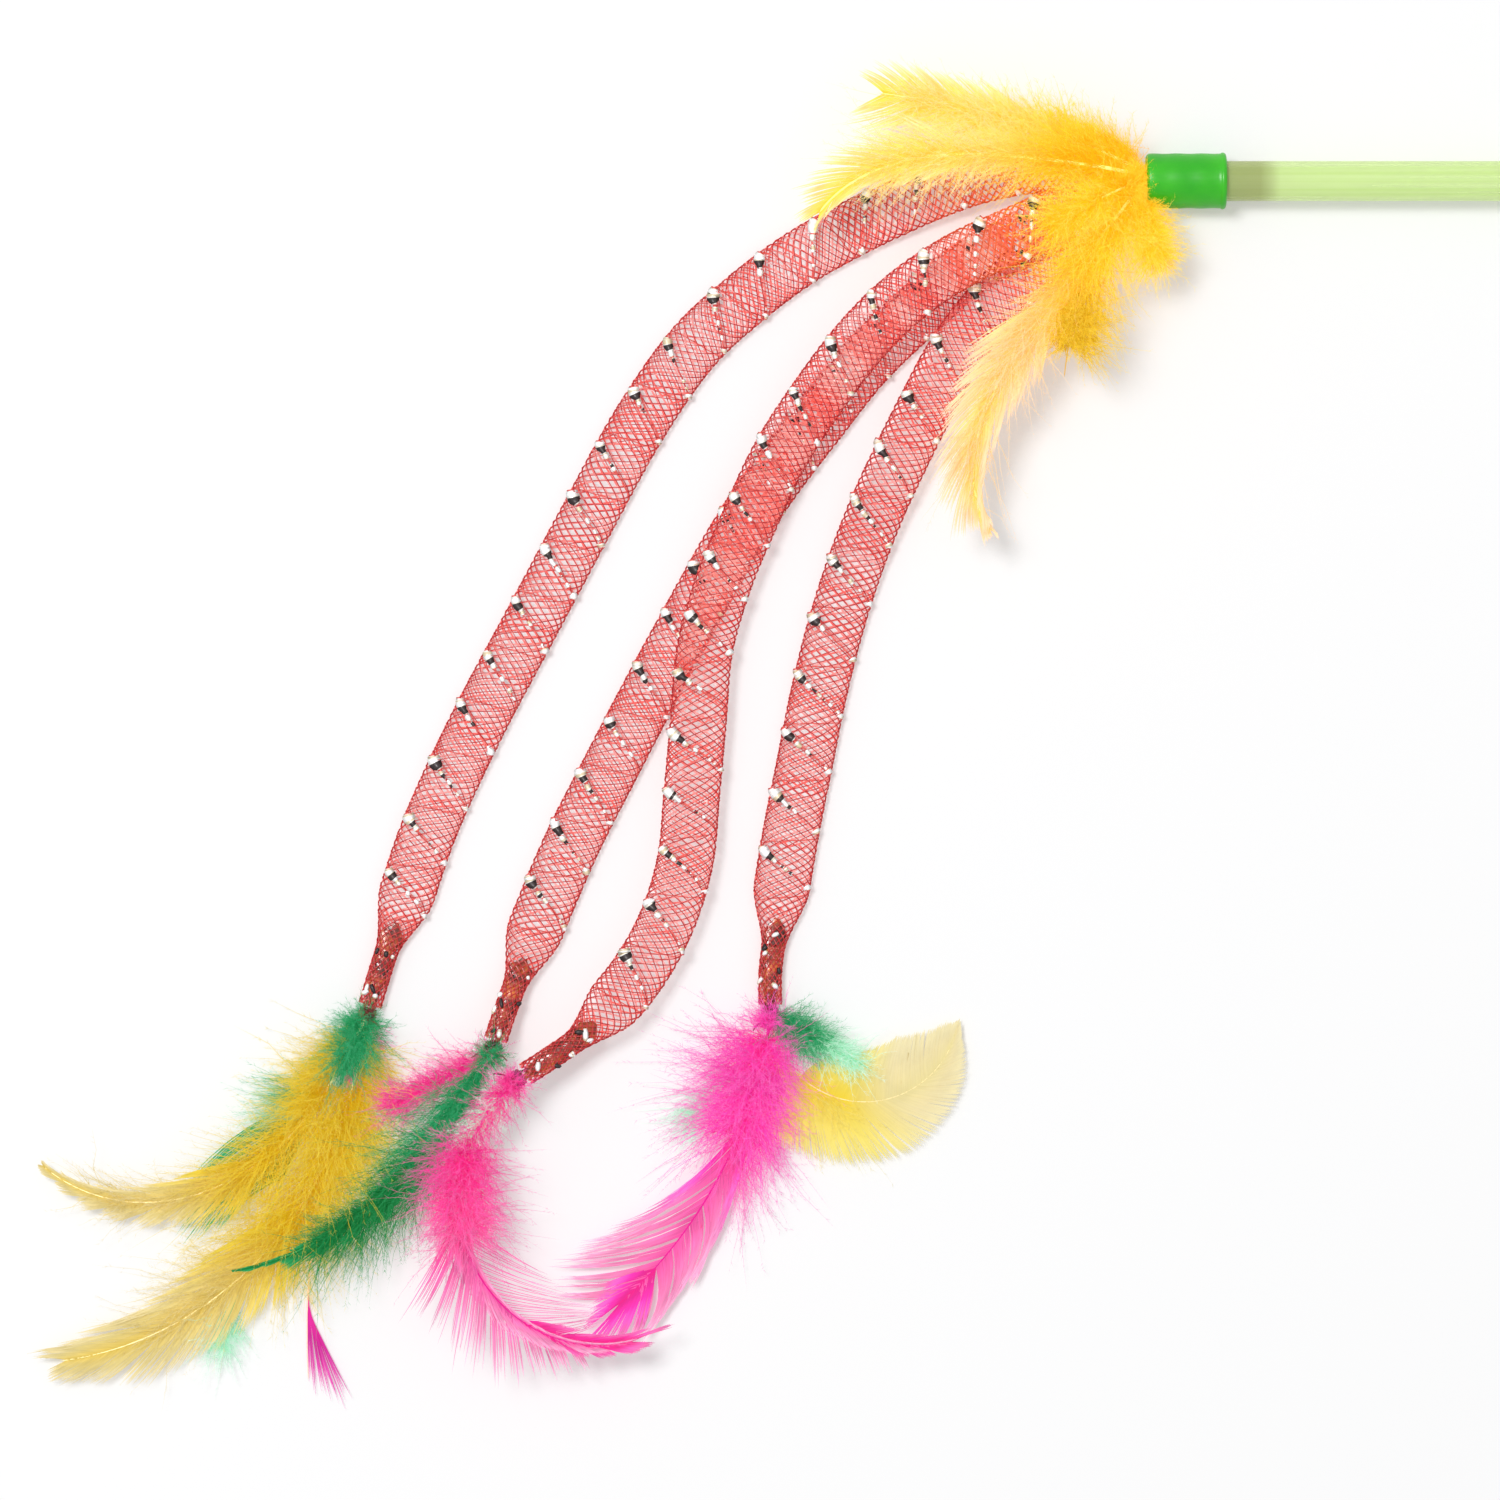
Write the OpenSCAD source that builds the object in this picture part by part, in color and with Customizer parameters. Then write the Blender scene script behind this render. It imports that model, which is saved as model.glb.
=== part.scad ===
// Cat teaser wand: a hollow rod with a soft cap at each end, four flattened net streamers that leave
// the front cap's mouth, a tied tassel of feathers on each streamer and a ruff of feathers round the
// mouth. It lies flat. The rod runs along X with the streamers towards -X, +Z is up, and the origin
// is the middle of the handle cap on the rod's axis. Angles are counted from +X towards +Y.

/* [Rod] */
// Outside diameter of the rod
rod_d = 6; // [5.5:0.1:7]
// Length of the rod
rod_len = 305; // [200:5:400]
// Wall of the rod
rod_wall = 0.8; // [0.6:0.1:0.9]

/* [Caps] */
// Length of each cap
cap_len = 12; // [11:0.5:16]
// Wall of each cap
cap_wall = 1.05; // [0.9:0.05:1.5]
// Length of rod that the front cap holds
cap_grip = 8.4; // [7:0.2:8.8]
// Wall that closes the handle cap
cap_end_wall = 1.4; // [1:0.1:2]
// Radius of the rounded edge at a cap's plain end
cap_edge_r = 0.6; // [0.3:0.1:0.8]
// Radius of the rolled bead at the end where the rod goes in
bead_r = 0.5; // [0.3:0.1:0.6]
// How far the bead stands out of the cap
bead_rise = 0.15; // [0.1:0.05:0.25]

/* [Glue plug] */
// Depth of the set glue below the cap's mouth
plug_recess = 1.2; // [0.8:0.1:1.6]
// Length of the glue inside the rod
plug_stem_len = 15.6; // [12:0.2:20]

/* [Net streamers] */
// Flat width of the net tube
net_w = 8.4; // [7.6:0.1:8.8]
// Thickness of the flattened net tube
net_t = 2; // [1.6:0.1:2.2]
// Diameter of a gathered end in the mouth
root_d = 1.1; // [0.8:0.1:1.1]
// Length of a gathered end, from the mouth into the glue
root_len = 11; // [8:0.5:14]
// Run over which the net opens out after the mouth
net_open_len = 15; // [14:0.5:20]
// Width of the glued neck above a tassel
neck_w = 3.4; // [2.6:0.2:4]
// Thickness of the glued neck above a tassel
neck_t = 1.6; // [1.2:0.1:1.8]
// Length of the glued neck above a tassel
neck_len = 8; // [6:0.5:11]
// Run over which the net narrows to the neck
net_close_len = 7; // [6:0.5:10]

/* [Ties] */
// Radius of the thread knot
tie_r = 1.6; // [1.3:0.05:1.7]
// Height of the thread knot
tie_h = 2.4; // [2:0.1:2.5]
// Radius of the knot's rounded edge
tie_edge_r = 0.5; // [0.3:0.1:0.7]

/* [Feather stock] */
// Diameter of a bare quill
quill_d = 0.56; // [0.4:0.02:0.6]
// Thickness of a feather's blade
blade_t = 0.4; // [0.3:0.02:0.44]
// Height between one feather and the next in a bundle
layer_pitch = 0.6; // [0.58:0.02:0.64]
// Length of quill left bare where a feather is held
bare_quill = 3; // [2:0.5:4]
// Run over which a feather opens to its full width
feather_open_len = 5; // [3:0.5:7]

/* [Ruff] */
// Radius of the ring of quills in the mouth
ruff_ring_r = 2.5; // [2.4:0.05:2.55]
// Height of the ruff's lowest feather over the rod's axis
ruff_base_z = 2.95; // [2.9:0.05:3.4]
// Run over which a ruff feather climbs to its layer
ruff_climb_len = 7; // [6:0.5:9]
// Height of the ruff's arch
ruff_arch_h = 1.2; // [0:0.1:2]
// How far the arch reaches from the mouth
ruff_arch_reach = 56; // [40:2:70]
// Length of ruff feather 1, the short upper one
ruff_1_len = 26; // [18:1:32]
// Half width of ruff feather 1
ruff_1_half_w = 4.5; // [3:0.5:6]
// Length of ruff feather 2, the short back one
ruff_2_len = 17; // [12:1:22]
// Half width of ruff feather 2
ruff_2_half_w = 5.5; // [3:0.5:6.5]
// Length of ruff feather 3, the long upper one
ruff_3_len = 43; // [34:1:50]
// Half width of ruff feather 3
ruff_3_half_w = 4.5; // [3:0.5:6]
// Length of ruff feather 4, the fluffy lower one
ruff_4_len = 29; // [22:1:34]
// Half width of ruff feather 4
ruff_4_half_w = 8; // [5:0.5:9]
// Length of ruff feather 5, the long curved lower one
ruff_5_len = 60; // [46:1:66]
// Half width of ruff feather 5
ruff_5_half_w = 6.5; // [3:0.5:7]
// Length of ruff feather 6, the long curled upper one
ruff_6_len = 51; // [40:1:58]
// Half width of ruff feather 6
ruff_6_half_w = 5.5; // [3:0.5:7]
// Length of ruff feather 7, the short middle one
ruff_7_len = 15; // [10:1:20]
// Half width of ruff feather 7
ruff_7_half_w = 4.5; // [3:0.5:6]

/* [Tassel 1] */
// Length of the long yellow feather
yellow_long_len = 73; // [60:1:80]
// Half width of the long yellow feather
yellow_long_half_w = 8.5; // [5:0.5:10]
// Length of the slim yellow feather
yellow_slim_len = 61; // [50:1:70]
// Half width of the slim yellow feather
yellow_slim_half_w = 4; // [2:0.5:6]
// Length of the green feather
green_1_len = 52; // [40:1:60]
// Half width of the green feather
green_1_half_w = 8; // [5:0.5:9]
// Length of the pink feather
pink_1_len = 54; // [40:1:60]
// Half width of the pink feather
pink_1_half_w = 3; // [2:0.5:4]

/* [Tassel 2] */
// Length of the pink feather
pink_2_len = 57; // [50:1:64]
// Half width of the pink feather
pink_2_half_w = 8; // [5:0.5:9]
// Length of the mint feather
mint_2_len = 14; // [10:1:20]
// Half width of the mint feather
mint_2_half_w = 3.5; // [2:0.5:5]

/* [Tassel 3] */
// Length of the green feather
green_3_len = 51; // [40:1:60]
// Half width of the green feather
green_3_half_w = 8; // [5:0.5:9]
// Length of the pink feather
pink_3_len = 18; // [14:1:24]
// Half width of the pink feather
pink_3_half_w = 4.5; // [3:0.5:6]

/* [Tassel 4] */
// Length of the pink feather
pink_4_len = 51; // [40:1:58]
// Half width of the pink feather
pink_4_half_w = 9; // [6:0.5:10]
// Length of the green feather
green_4_len = 15; // [12:1:20]
// Half width of the green feather
green_4_half_w = 4.5; // [3:0.5:6]
// Length of the mint feather
mint_4_len = 20; // [14:1:24]
// Half width of the mint feather
mint_4_half_w = 3; // [2:0.5:4]
// Length of the pale yellow feather
yellow_4_len = 40; // [34:1:50]
// Half width of the pale yellow feather
yellow_4_half_w = 6; // [4:0.2:7]

/* [Hidden] */

// Fits and overruns
fit_gap = 0.05;
seat_gap = 0.1;
net_gap = 0.3;
over = 1;
round_fn = 64;
small_fn = 32;

// Rod and caps
cap_bore_r = rod_d / 2 + fit_gap;
cap_r = cap_bore_r + cap_wall;
rod_bore_r = rod_d / 2 - rod_wall;
rod_far_x = cap_len / 2 - cap_end_wall;
rod_near_x = rod_far_x - rod_len;
mouth_x = rod_near_x - (cap_len - cap_grip);

// Net ends in the mouth, as [y, z] from the rod's axis: the first is uppermost in plan, the second
// lies on top, the third underneath and the fourth lowermost in plan
root_side = root_d;
root_rise = root_d + 2 * seat_gap;
roots = [[root_side, 0], [0, root_rise], [0, -root_rise], [-root_side, 0]];

// Routes of the four streamers, as [x, y, z] from the middle of the mouth on the rod's axis
mesh_1_route = [
    [-0.5, 1.1, 0], [-3, 1.3, -0.2], [-6, 1.8, -0.5], [-10, 2.3, -0.8], [-15, 2.5, -0.9],
    [-21, 1.8, -0.9], [-28, 0, -1.6], [-36, -3.2, -2.6], [-44, -7, -3.2], [-52, -11.5, -3.2],
    [-60, -17.5, -3.2], [-68, -25, -3.2], [-76, -36.5, -3.2], [-84, -51, -3.2], [-92, -66, -3.2],
    [-100, -81, -3.2], [-107, -96, -3.2], [-111.5, -109, -3.2], [-114, -116, -3.1],
    [-116.3, -123.5, -2.95]
];
mesh_2_route = [
    [-0.5, 0, 1.3], [-3, -0.6, 1.35], [-7, -2.4, 1.4], [-13, -5.2, 1.4], [-20, -8.3, 1.4],
    [-28, -12, 1.4], [-36, -17.4, 1.4], [-43, -24.3, 0.7], [-50, -33.6, -0.5], [-55, -41.5, -0.9],
    [-59, -50, -0.9], [-63, -59.5, -0.9], [-66, -70, -0.9], [-67, -81, -0.9], [-68, -92, -0.9],
    [-69, -102, -0.9], [-72, -111.5, -0.8], [-77, -120, -0.2], [-84, -127.5, 1],
    [-89.5, -131.5, 2], [-92.8, -133.6, 2.65]
];
mesh_3_route = [
    [-0.5, 0, -1.3], [-3, -0.8, -1.8], [-7, -2.8, -2.5], [-13, -5.9, -3.1], [-20, -9.3, -3.2],
    [-27, -13.2, -3.2], [-34, -19.3, -3.2], [-42, -27, -3.2], [-49, -35.8, -3.2],
    [-56, -45, -3.2], [-62, -54.3, -3.2], [-68, -65, -3.2], [-74, -76, -3.2], [-80, -87.5, -3.2],
    [-86, -99.3, -3.2], [-91, -111, -3.2], [-94, -119, -2.4], [-96, -124.5, -1.2],
    [-97.3, -128.5, -0.05]
];
mesh_4_route = [
    [-0.5, -1.1, 0], [-2.5, -1.5, -0.2], [-5.5, -3.2, -0.5], [-9.5, -6.5, -0.8],
    [-14, -10.3, -0.9], [-19, -14.5, -0.9], [-24, -19.6, -0.9], [-29, -26.5, -0.9],
    [-33, -34, -0.9], [-36.5, -41, -0.9], [-40, -48.5, -1.8], [-43.5, -57.5, -2.9],
    [-46.5, -67, -3.2], [-49, -77, -3.2], [-51, -87, -3.2], [-53, -97, -3.2],
    [-54.5, -106, -3.2], [-55.5, -113, -3.1], [-56.2, -118.5, -3], [-56.2, -123.4, -2.95]
];

// Points round a cross-section
net_sides = 8;
blade_sides = 8;

// Shares of a feather's length at which its outline is given
ring_shares = [0, 0.04, 0.09, 0.15, 0.22, 0.3, 0.39, 0.48, 0.57, 0.66, 0.75, 0.83, 0.9, 0.96, 1];

// Outlines, as [share of the length, share of the half width]
hackle_shares = [[0, 0.3], [0.12, 0.95], [0.3, 1], [0.45, 0.8], [0.65, 0.75], [0.85, 0.5], [1, 0.08]];
slim_shares = [[0, 0.4], [0.2, 1], [0.45, 0.9], [0.7, 0.9], [0.88, 0.6], [1, 0.08]];
fluff_shares = [[0, 0.5], [0.3, 1], [0.6, 1], [0.85, 0.7], [1, 0.15]];
fan_shares = [[0, 0.3], [0.2, 0.5], [0.6, 0.35], [0.78, 0.45], [0.94, 1], [1, 0.6]];
club_shares = [[0, 0.3], [0.35, 0.7], [0.65, 1], [0.78, 0.9], [0.84, 0.2], [1, 0.02]];
vane_shares = [[0, 0.5], [0.15, 1], [0.32, 1], [0.45, 0.6], [0.7, 0.95], [0.88, 0.55], [1, 0.05]];

// Ease from 0 to 1 as t goes from 0 to 1
function ease(t) = let (u = min(1, max(0, t))) u * u * (3 - 2 * u);

function unit(v) = v / norm(v);

// Distance along a route from its first point to point i
function run_to(route, i) = i == 0 ? 0 : run_to(route, i - 1) + norm(route[i] - route[i - 1]);

// Direction of a route at point i
function heading_at(route, i) =
    unit(route[min(i + 1, len(route) - 1)] - route[max(i - 1, 0)]);

// Half width and half thickness of a net tube, from the distances to its two ends
function net_half_w(from_mouth, from_tie) =
    min(
        root_d / 2 + (net_w - root_d) / 2 * ease(from_mouth / net_open_len),
        neck_w / 2 + (net_w - neck_w) / 2 * ease((from_tie - neck_len) / net_close_len)
    );
function net_half_t(from_mouth, from_tie) =
    min(
        root_d / 2 + (net_t - root_d) / 2 * ease(from_mouth / net_open_len),
        neck_t / 2 + (net_t - neck_t) / 2 * ease((from_tie - neck_len) / net_close_len)
    );

// One oval ring of a net tube: flat across the route, thin along its up direction
function net_ring(route, i) =
    let (
        ahead = heading_at(route, i),
        side = unit([-ahead.y, ahead.x, 0]),
        up = cross(ahead, side),
        run = run_to(route, i),
        left = run_to(route, len(route) - 1) - run,
        w = net_half_w(run, left),
        t = net_half_t(run, left)
    )
    [for (k = [0:net_sides - 1])
        let (a = 360 * (k + 0.5) / net_sides)
        route[i] + side * w * cos(a) + up * t * sin(a)];

// Middle of the knot that follows a route's last point
function tie_at(route) =
    let (
        last = route[len(route) - 1],
        ahead = last - route[len(route) - 2]
    )
    last + unit([ahead.x, ahead.y, 0]) * (tie_r + net_gap);

// Points of a feather's spine in plan: the heading turns by bend, slowly at first where power is high
function spine_at(start, length, heading, bend, power, i) =
    i == 0 ? start :
    let (
        share = (ring_shares[i] + ring_shares[i - 1]) / 2,
        way = heading + bend * pow(share, power)
    )
    spine_at(start, length, heading, bend, power, i - 1)
        + length * (ring_shares[i] - ring_shares[i - 1]) * [cos(way), sin(way)];

// One ring of a feather: a flat oval with its own half width on each side, thick only at the quill
function blade_ring(middle, way, left_w, right_w, half_t, z) =
    [for (k = [0:blade_sides - 1])
        let (
            a = 360 * k / blade_sides,
            across = cos(a) * (cos(a) > 0 ? left_w : right_w)
        )
        [middle.x - sin(way) * across, middle.y + cos(way) * across, z + half_t * sin(a)]];

// Half width of a feather at a share of its length
function blade_half_w(length, half_w, shape, share) =
    let (open = ease((share * length - bare_quill) / feather_open_len))
    quill_d / 2 + max(0, half_w * lookup(share, shape) - quill_d / 2) * open;

function blade_half_t(length, share) =
    quill_d / 2 + (blade_t - quill_d) / 2 * ease((share * length - bare_quill) / feather_open_len);

// Closed skin over a stack of rings with as many points each
module skin(rings) {
    n = len(rings[0]);
    m = len(rings);
    points = [for (ring = rings) for (p = ring) p];
    sides = [for (j = [0:m - 2]) for (i = [0:n - 1])
        let (a = j * n + i, b = j * n + (i + 1) % n)
        each [[a, b, b + n], [a, b + n, a + n]]];
    first = [for (i = [1:n - 2]) [0, i + 1, i]];
    last = [for (i = [1:n - 2]) [(m - 1) * n, (m - 1) * n + i, (m - 1) * n + i + 1]];
    polyhedron(points = points, faces = concat(first, sides, last));
}

// Ring of revolution about the rod's axis, from a profile of [radius, x]
module about_rod() {
    rotate([0, 90, 0]) rotate_extrude($fn = round_fn) children();
}

// Wall of a cap in profile, from x = 0 at its plain end: one rounded edge and one rolled bead
module cap_wall_profile(inner_r) {
    translate([inner_r, cap_edge_r]) square([cap_r - inner_r, cap_len - cap_edge_r]);
    translate([inner_r, 0]) square([cap_r - cap_edge_r - inner_r, cap_edge_r]);
    translate([cap_r - cap_edge_r, cap_edge_r]) circle(r = cap_edge_r, $fn = small_fn);
    translate([cap_r + bead_rise - bead_r, cap_len - bead_r]) circle(r = bead_r, $fn = small_fn);
}

module rod() {
    color("yellowgreen", 0.6)
        translate([rod_near_x, 0, 0])
            rotate([0, 90, 0])
                difference() {
                    cylinder(d = rod_d, h = rod_len, $fn = round_fn);
                    translate([0, 0, -over])
                        cylinder(r = rod_bore_r, h = rod_len + 2 * over, $fn = round_fn);
                }
}

module front_cap() {
    color("limegreen")
        translate([mouth_x, 0, 0])
            about_rod() cap_wall_profile(cap_bore_r);
}

module handle_cap() {
    color("limegreen")
        mirror([1, 0, 0])
            translate([-cap_len / 2, 0, 0])
                about_rod() {
                    cap_wall_profile(cap_bore_r);
                    square([cap_bore_r + cap_wall - cap_edge_r, cap_end_wall]);
                }
}

// Set glue: a head that fills the mouth, and a stem inside the rod, cast round the gathered net ends
module glue_plug() {
    head_len = cap_len - cap_grip - plug_recess;
    color("saddlebrown", 0.8)
        translate([mouth_x + plug_recess, 0, 0])
            rotate([0, 90, 0])
                difference() {
                    union() {
                        cylinder(r = cap_bore_r - fit_gap, h = head_len, $fn = round_fn);
                        cylinder(r = rod_bore_r - fit_gap, h = head_len + plug_stem_len, $fn = round_fn);
                    }
                    for (at = roots)
                        translate([-at[1], at[0], -over])
                            cylinder(
                                r = root_d / 2 + fit_gap,
                                h = root_len - plug_recess + fit_gap + over,
                                $fn = small_fn
                            );
                }
}

// Gathered net end, from the mouth's plane into the glue
module mesh_root(at) {
    color("firebrick")
        translate([mouth_x, at[0], at[1]])
            rotate([0, 90, 0])
                cylinder(d = root_d, h = root_len, $fn = small_fn);
}

module mesh_tube(route) {
    color("red", 0.7)
        translate([mouth_x, 0, 0])
            skin([for (i = [0:len(route) - 1]) net_ring(route, i)]);
}

// Thread knot: a squat drum with rounded edges, upright
module tie(route) {
    color("brown")
        translate([mouth_x, 0, 0])
            translate(tie_at(route))
                rotate_extrude($fn = small_fn) {
                    translate([0, -tie_h / 2]) square([tie_r - tie_edge_r, tie_h]);
                    translate([0, -tie_h / 2 + tie_edge_r]) square([tie_r, tie_h - 2 * tie_edge_r]);
                    for (end = [-1, 1])
                        translate([tie_r - tie_edge_r, end * (tie_h / 2 - tie_edge_r)])
                            circle(r = tie_edge_r, $fn = small_fn);
                }
}

// Feather of a tassel: it starts just outside the knot and stays at its own layer of the bundle
module tassel_feather(route, layer, layers, heading, bend, power, length, half_w, shape, sides) {
    knot = tie_at(route);
    start = [knot.x, knot.y] + (tie_r + seat_gap) * [cos(heading), sin(heading)];
    z = knot.z + (layer - (layers - 1) / 2) * layer_pitch;
    rings = [for (i = [0:len(ring_shares) - 1])
        let (
            share = ring_shares[i],
            w = blade_half_w(length, half_w, shape, share)
        )
        blade_ring(
            spine_at(start, length, heading, bend, power, i),
            heading + bend * pow(share, power),
            max(quill_d / 2, w * sides[0]), max(quill_d / 2, w * sides[1]),
            blade_half_t(length, share), z
        )];
    translate([mouth_x, 0, 0]) skin(rings);
}

// Height that the ruff's arch adds at a distance from the mouth
function arch(from_mouth) =
    ruff_arch_h * sin(180 * min(1, max(0, from_mouth - bare_quill) / ruff_arch_reach));

// Feather of the ruff: from the glue it runs straight out of the mouth, then climbs to its layer
module ruff_feather(slot, layer, heading, bend, power, length, half_w, shape) {
    ring_angle = 90 - slot * 18;
    lane = ruff_ring_r * [cos(ring_angle), sin(ring_angle)];
    start = [-bare_quill / 4, lane[0]];
    top = ruff_base_z + layer * layer_pitch;
    held = blade_ring([plug_recess - seat_gap, lane[0]], 180, quill_d / 2, quill_d / 2,
        quill_d / 2, lane[1]);
    free = [for (i = [0:len(ring_shares) - 1])
        let (
            share = ring_shares[i],
            w = blade_half_w(length, half_w, shape, share),
            z = lane[1] + (top - lane[1]) * ease(share * length / ruff_climb_len),
            flat = blade_ring(
                spine_at(start, length, heading, bend, power, i),
                i == 0 ? 180 : heading + bend * pow(share, power),
                w, w, blade_half_t(length, share), z
            )
        )
        [for (p = flat) p + [0, 0, arch(norm([p.x, p.y]))]]];
    translate([mouth_x, 0, 0]) skin(concat([held], free));
}

module ruff_1() {
    color("gold") ruff_feather(3, 0, 146, 35, 1, ruff_1_len, ruff_1_half_w, fluff_shares);
}
module ruff_2() {
    color("gold") ruff_feather(-3, 1, 272, 15, 1, ruff_2_len, ruff_2_half_w, fluff_shares);
}
module ruff_3() {
    color("gold") ruff_feather(2, 2, 155, 18, 1, ruff_3_len, ruff_3_half_w, slim_shares);
}
module ruff_4() {
    color("gold") ruff_feather(-2, 3, 230, 35, 1, ruff_4_len, ruff_4_half_w, club_shares);
}
module ruff_5() {
    color("khaki") ruff_feather(-1, 4, 232, 75, 4, ruff_5_len, ruff_5_half_w, slim_shares);
}
module ruff_6() {
    color("gold") ruff_feather(1, 5, 172, 62, 3, ruff_6_len, ruff_6_half_w, slim_shares);
}
module ruff_7() {
    color("orange") ruff_feather(0, 6, 204, 10, 1, ruff_7_len, ruff_7_half_w, fluff_shares);
}

module tassel_1_pink() {
    color("hotpink")
        tassel_feather(mesh_1_route, 0, 4, 262, 5, 1, pink_1_len, pink_1_half_w, fan_shares, [1, 1]);
}
module tassel_1_green() {
    color("seagreen")
        tassel_feather(mesh_1_route, 1, 4, 240, 12, 1, green_1_len, green_1_half_w, fluff_shares,
            [1, 1]);
}
module tassel_1_yellow_long() {
    color("gold")
        tassel_feather(mesh_1_route, 2, 4, 262, -75, 1.2, yellow_long_len, yellow_long_half_w,
            hackle_shares, [1, 1]);
}
module tassel_1_yellow_slim() {
    color("khaki")
        tassel_feather(mesh_1_route, 3, 4, 244, -106, 1.6, yellow_slim_len, yellow_slim_half_w,
            slim_shares, [1, 1]);
}
module tassel_2_mint() {
    color("mediumaquamarine")
        tassel_feather(mesh_2_route, 0, 2, 232, 0, 1, mint_2_len, mint_2_half_w, fluff_shares, [1, 1]);
}
module tassel_2_pink() {
    color("hotpink")
        tassel_feather(mesh_2_route, 1, 2, 224, 150, 1.1, pink_2_len, pink_2_half_w, hackle_shares,
            [0.5, 1]);
}
module tassel_3_pink() {
    color("hotpink")
        tassel_feather(mesh_3_route, 0, 2, 218, -5, 1, pink_3_len, pink_3_half_w, fluff_shares, [1, 1]);
}
module tassel_3_green() {
    color("darkgreen")
        tassel_feather(mesh_3_route, 1, 2, 240, -50, 1.5, green_3_len, green_3_half_w, slim_shares,
            [1, 0.4]);
}
module tassel_4_mint() {
    color("mediumaquamarine")
        tassel_feather(mesh_4_route, 0, 4, 232, 0, 1, mint_4_len, mint_4_half_w, fluff_shares, [1, 1]);
}
module tassel_4_yellow() {
    color("khaki")
        tassel_feather(mesh_4_route, 1, 4, 280, 165, 1, yellow_4_len, yellow_4_half_w, slim_shares,
            [1, 1]);
}
module tassel_4_pink() {
    color("hotpink")
        tassel_feather(mesh_4_route, 2, 4, 256, -14, 1, pink_4_len, pink_4_half_w, vane_shares, [1, 1]);
}
module tassel_4_green() {
    color("seagreen")
        tassel_feather(mesh_4_route, 3, 4, 335, -5, 1, green_4_len, green_4_half_w, fluff_shares,
            [1, 1]);
}

rod();
front_cap();
handle_cap();
glue_plug();
mesh_root(roots[0]);  // mesh_root_1
mesh_root(roots[1]);  // mesh_root_2
mesh_root(roots[2]);  // mesh_root_3
mesh_root(roots[3]);  // mesh_root_4
mesh_tube(mesh_1_route);  // mesh_tube_1
mesh_tube(mesh_2_route);  // mesh_tube_2
mesh_tube(mesh_3_route);  // mesh_tube_3
mesh_tube(mesh_4_route);  // mesh_tube_4
tie(mesh_1_route);  // tie_1
tie(mesh_2_route);  // tie_2
tie(mesh_3_route);  // tie_3
tie(mesh_4_route);  // tie_4
ruff_1();  // ruff_feather_1
ruff_2();  // ruff_feather_2
ruff_3();  // ruff_feather_3
ruff_4();  // ruff_feather_4
ruff_5();  // ruff_feather_5
ruff_6();  // ruff_feather_6
ruff_7();  // ruff_feather_7
tassel_1_yellow_long();
tassel_1_yellow_slim();
tassel_1_green();
tassel_1_pink();
tassel_2_pink();
tassel_2_mint();
tassel_3_green();
tassel_3_pink();
tassel_4_pink();
tassel_4_green();
tassel_4_mint();
tassel_4_yellow();
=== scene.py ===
import math

import bpy
import numpy as np
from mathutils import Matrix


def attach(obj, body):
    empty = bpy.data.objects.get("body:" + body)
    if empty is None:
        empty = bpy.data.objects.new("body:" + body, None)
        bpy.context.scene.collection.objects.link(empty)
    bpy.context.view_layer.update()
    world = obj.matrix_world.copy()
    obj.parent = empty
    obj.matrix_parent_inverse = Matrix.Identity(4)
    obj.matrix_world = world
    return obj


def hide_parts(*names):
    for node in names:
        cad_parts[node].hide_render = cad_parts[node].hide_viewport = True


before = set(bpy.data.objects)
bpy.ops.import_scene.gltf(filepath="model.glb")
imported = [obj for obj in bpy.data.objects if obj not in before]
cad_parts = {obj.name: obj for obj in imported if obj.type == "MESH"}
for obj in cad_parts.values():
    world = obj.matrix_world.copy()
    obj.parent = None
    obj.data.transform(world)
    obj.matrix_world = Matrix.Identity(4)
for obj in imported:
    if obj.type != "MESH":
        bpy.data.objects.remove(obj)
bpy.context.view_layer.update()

# Metres in a mm, the x of the cap's mouth, the floor's height and the lowest that feathers hang, in mm
MM, MOUTH_X, FLOOR_Z, LOWEST = 0.001, -304, -4.25, -4.15
# The net, opened out, gathered in the mouth and gathered at its knot, and the runs over which it changes
NET_W, NET_T, ROOT_D, NECK_W, NECK_T = 8.4, 2, 1.1, 3.4, 1.6
NECK_LEN, CLOSE_LEN, OPEN_LEN = 8, 10, 15
# Knot radius, the gaps from it to the net and to its feathers, and the height from one layer to the next
TIE_R, NET_GAP, SEAT_GAP, LAYER = 1.6, 0.3, 0.1, 0.6
# Rod and caps: radii outside and inside, the rod's ends, a cap's length and the x of the closed one's end
ROD_R, ROD_BORE, ROD_FROM, ROD_TO = 3, 2.2, -300.4, 4.6
CAP_R, CAP_BORE, CAP_LEN, CAP_END = 4.1, 3.05, 12, 6
# How far a net's strand passes over or under another, and how near the crossed net's line it is painted the
# deep red of light through two nets
PASS, OVERLAP = 0.05, 4
# Rows of V: a feather's last barb and its quill, the net's painted deep red of two nets on one another, and
# the foil's fold painted dark as shade, its face and its back
LAST_ROW, QUILL_ROW, PAINTED_OVERLAP_ROW, SHADED_FOLD, FACE, BACK = 0.93, 0.966, 0.95, 0.1, 0.4, 0.62
# Painted glow: light the feathers give off in their own colour, in place of what comes through them
SELF_GLOW = 0.42

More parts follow.
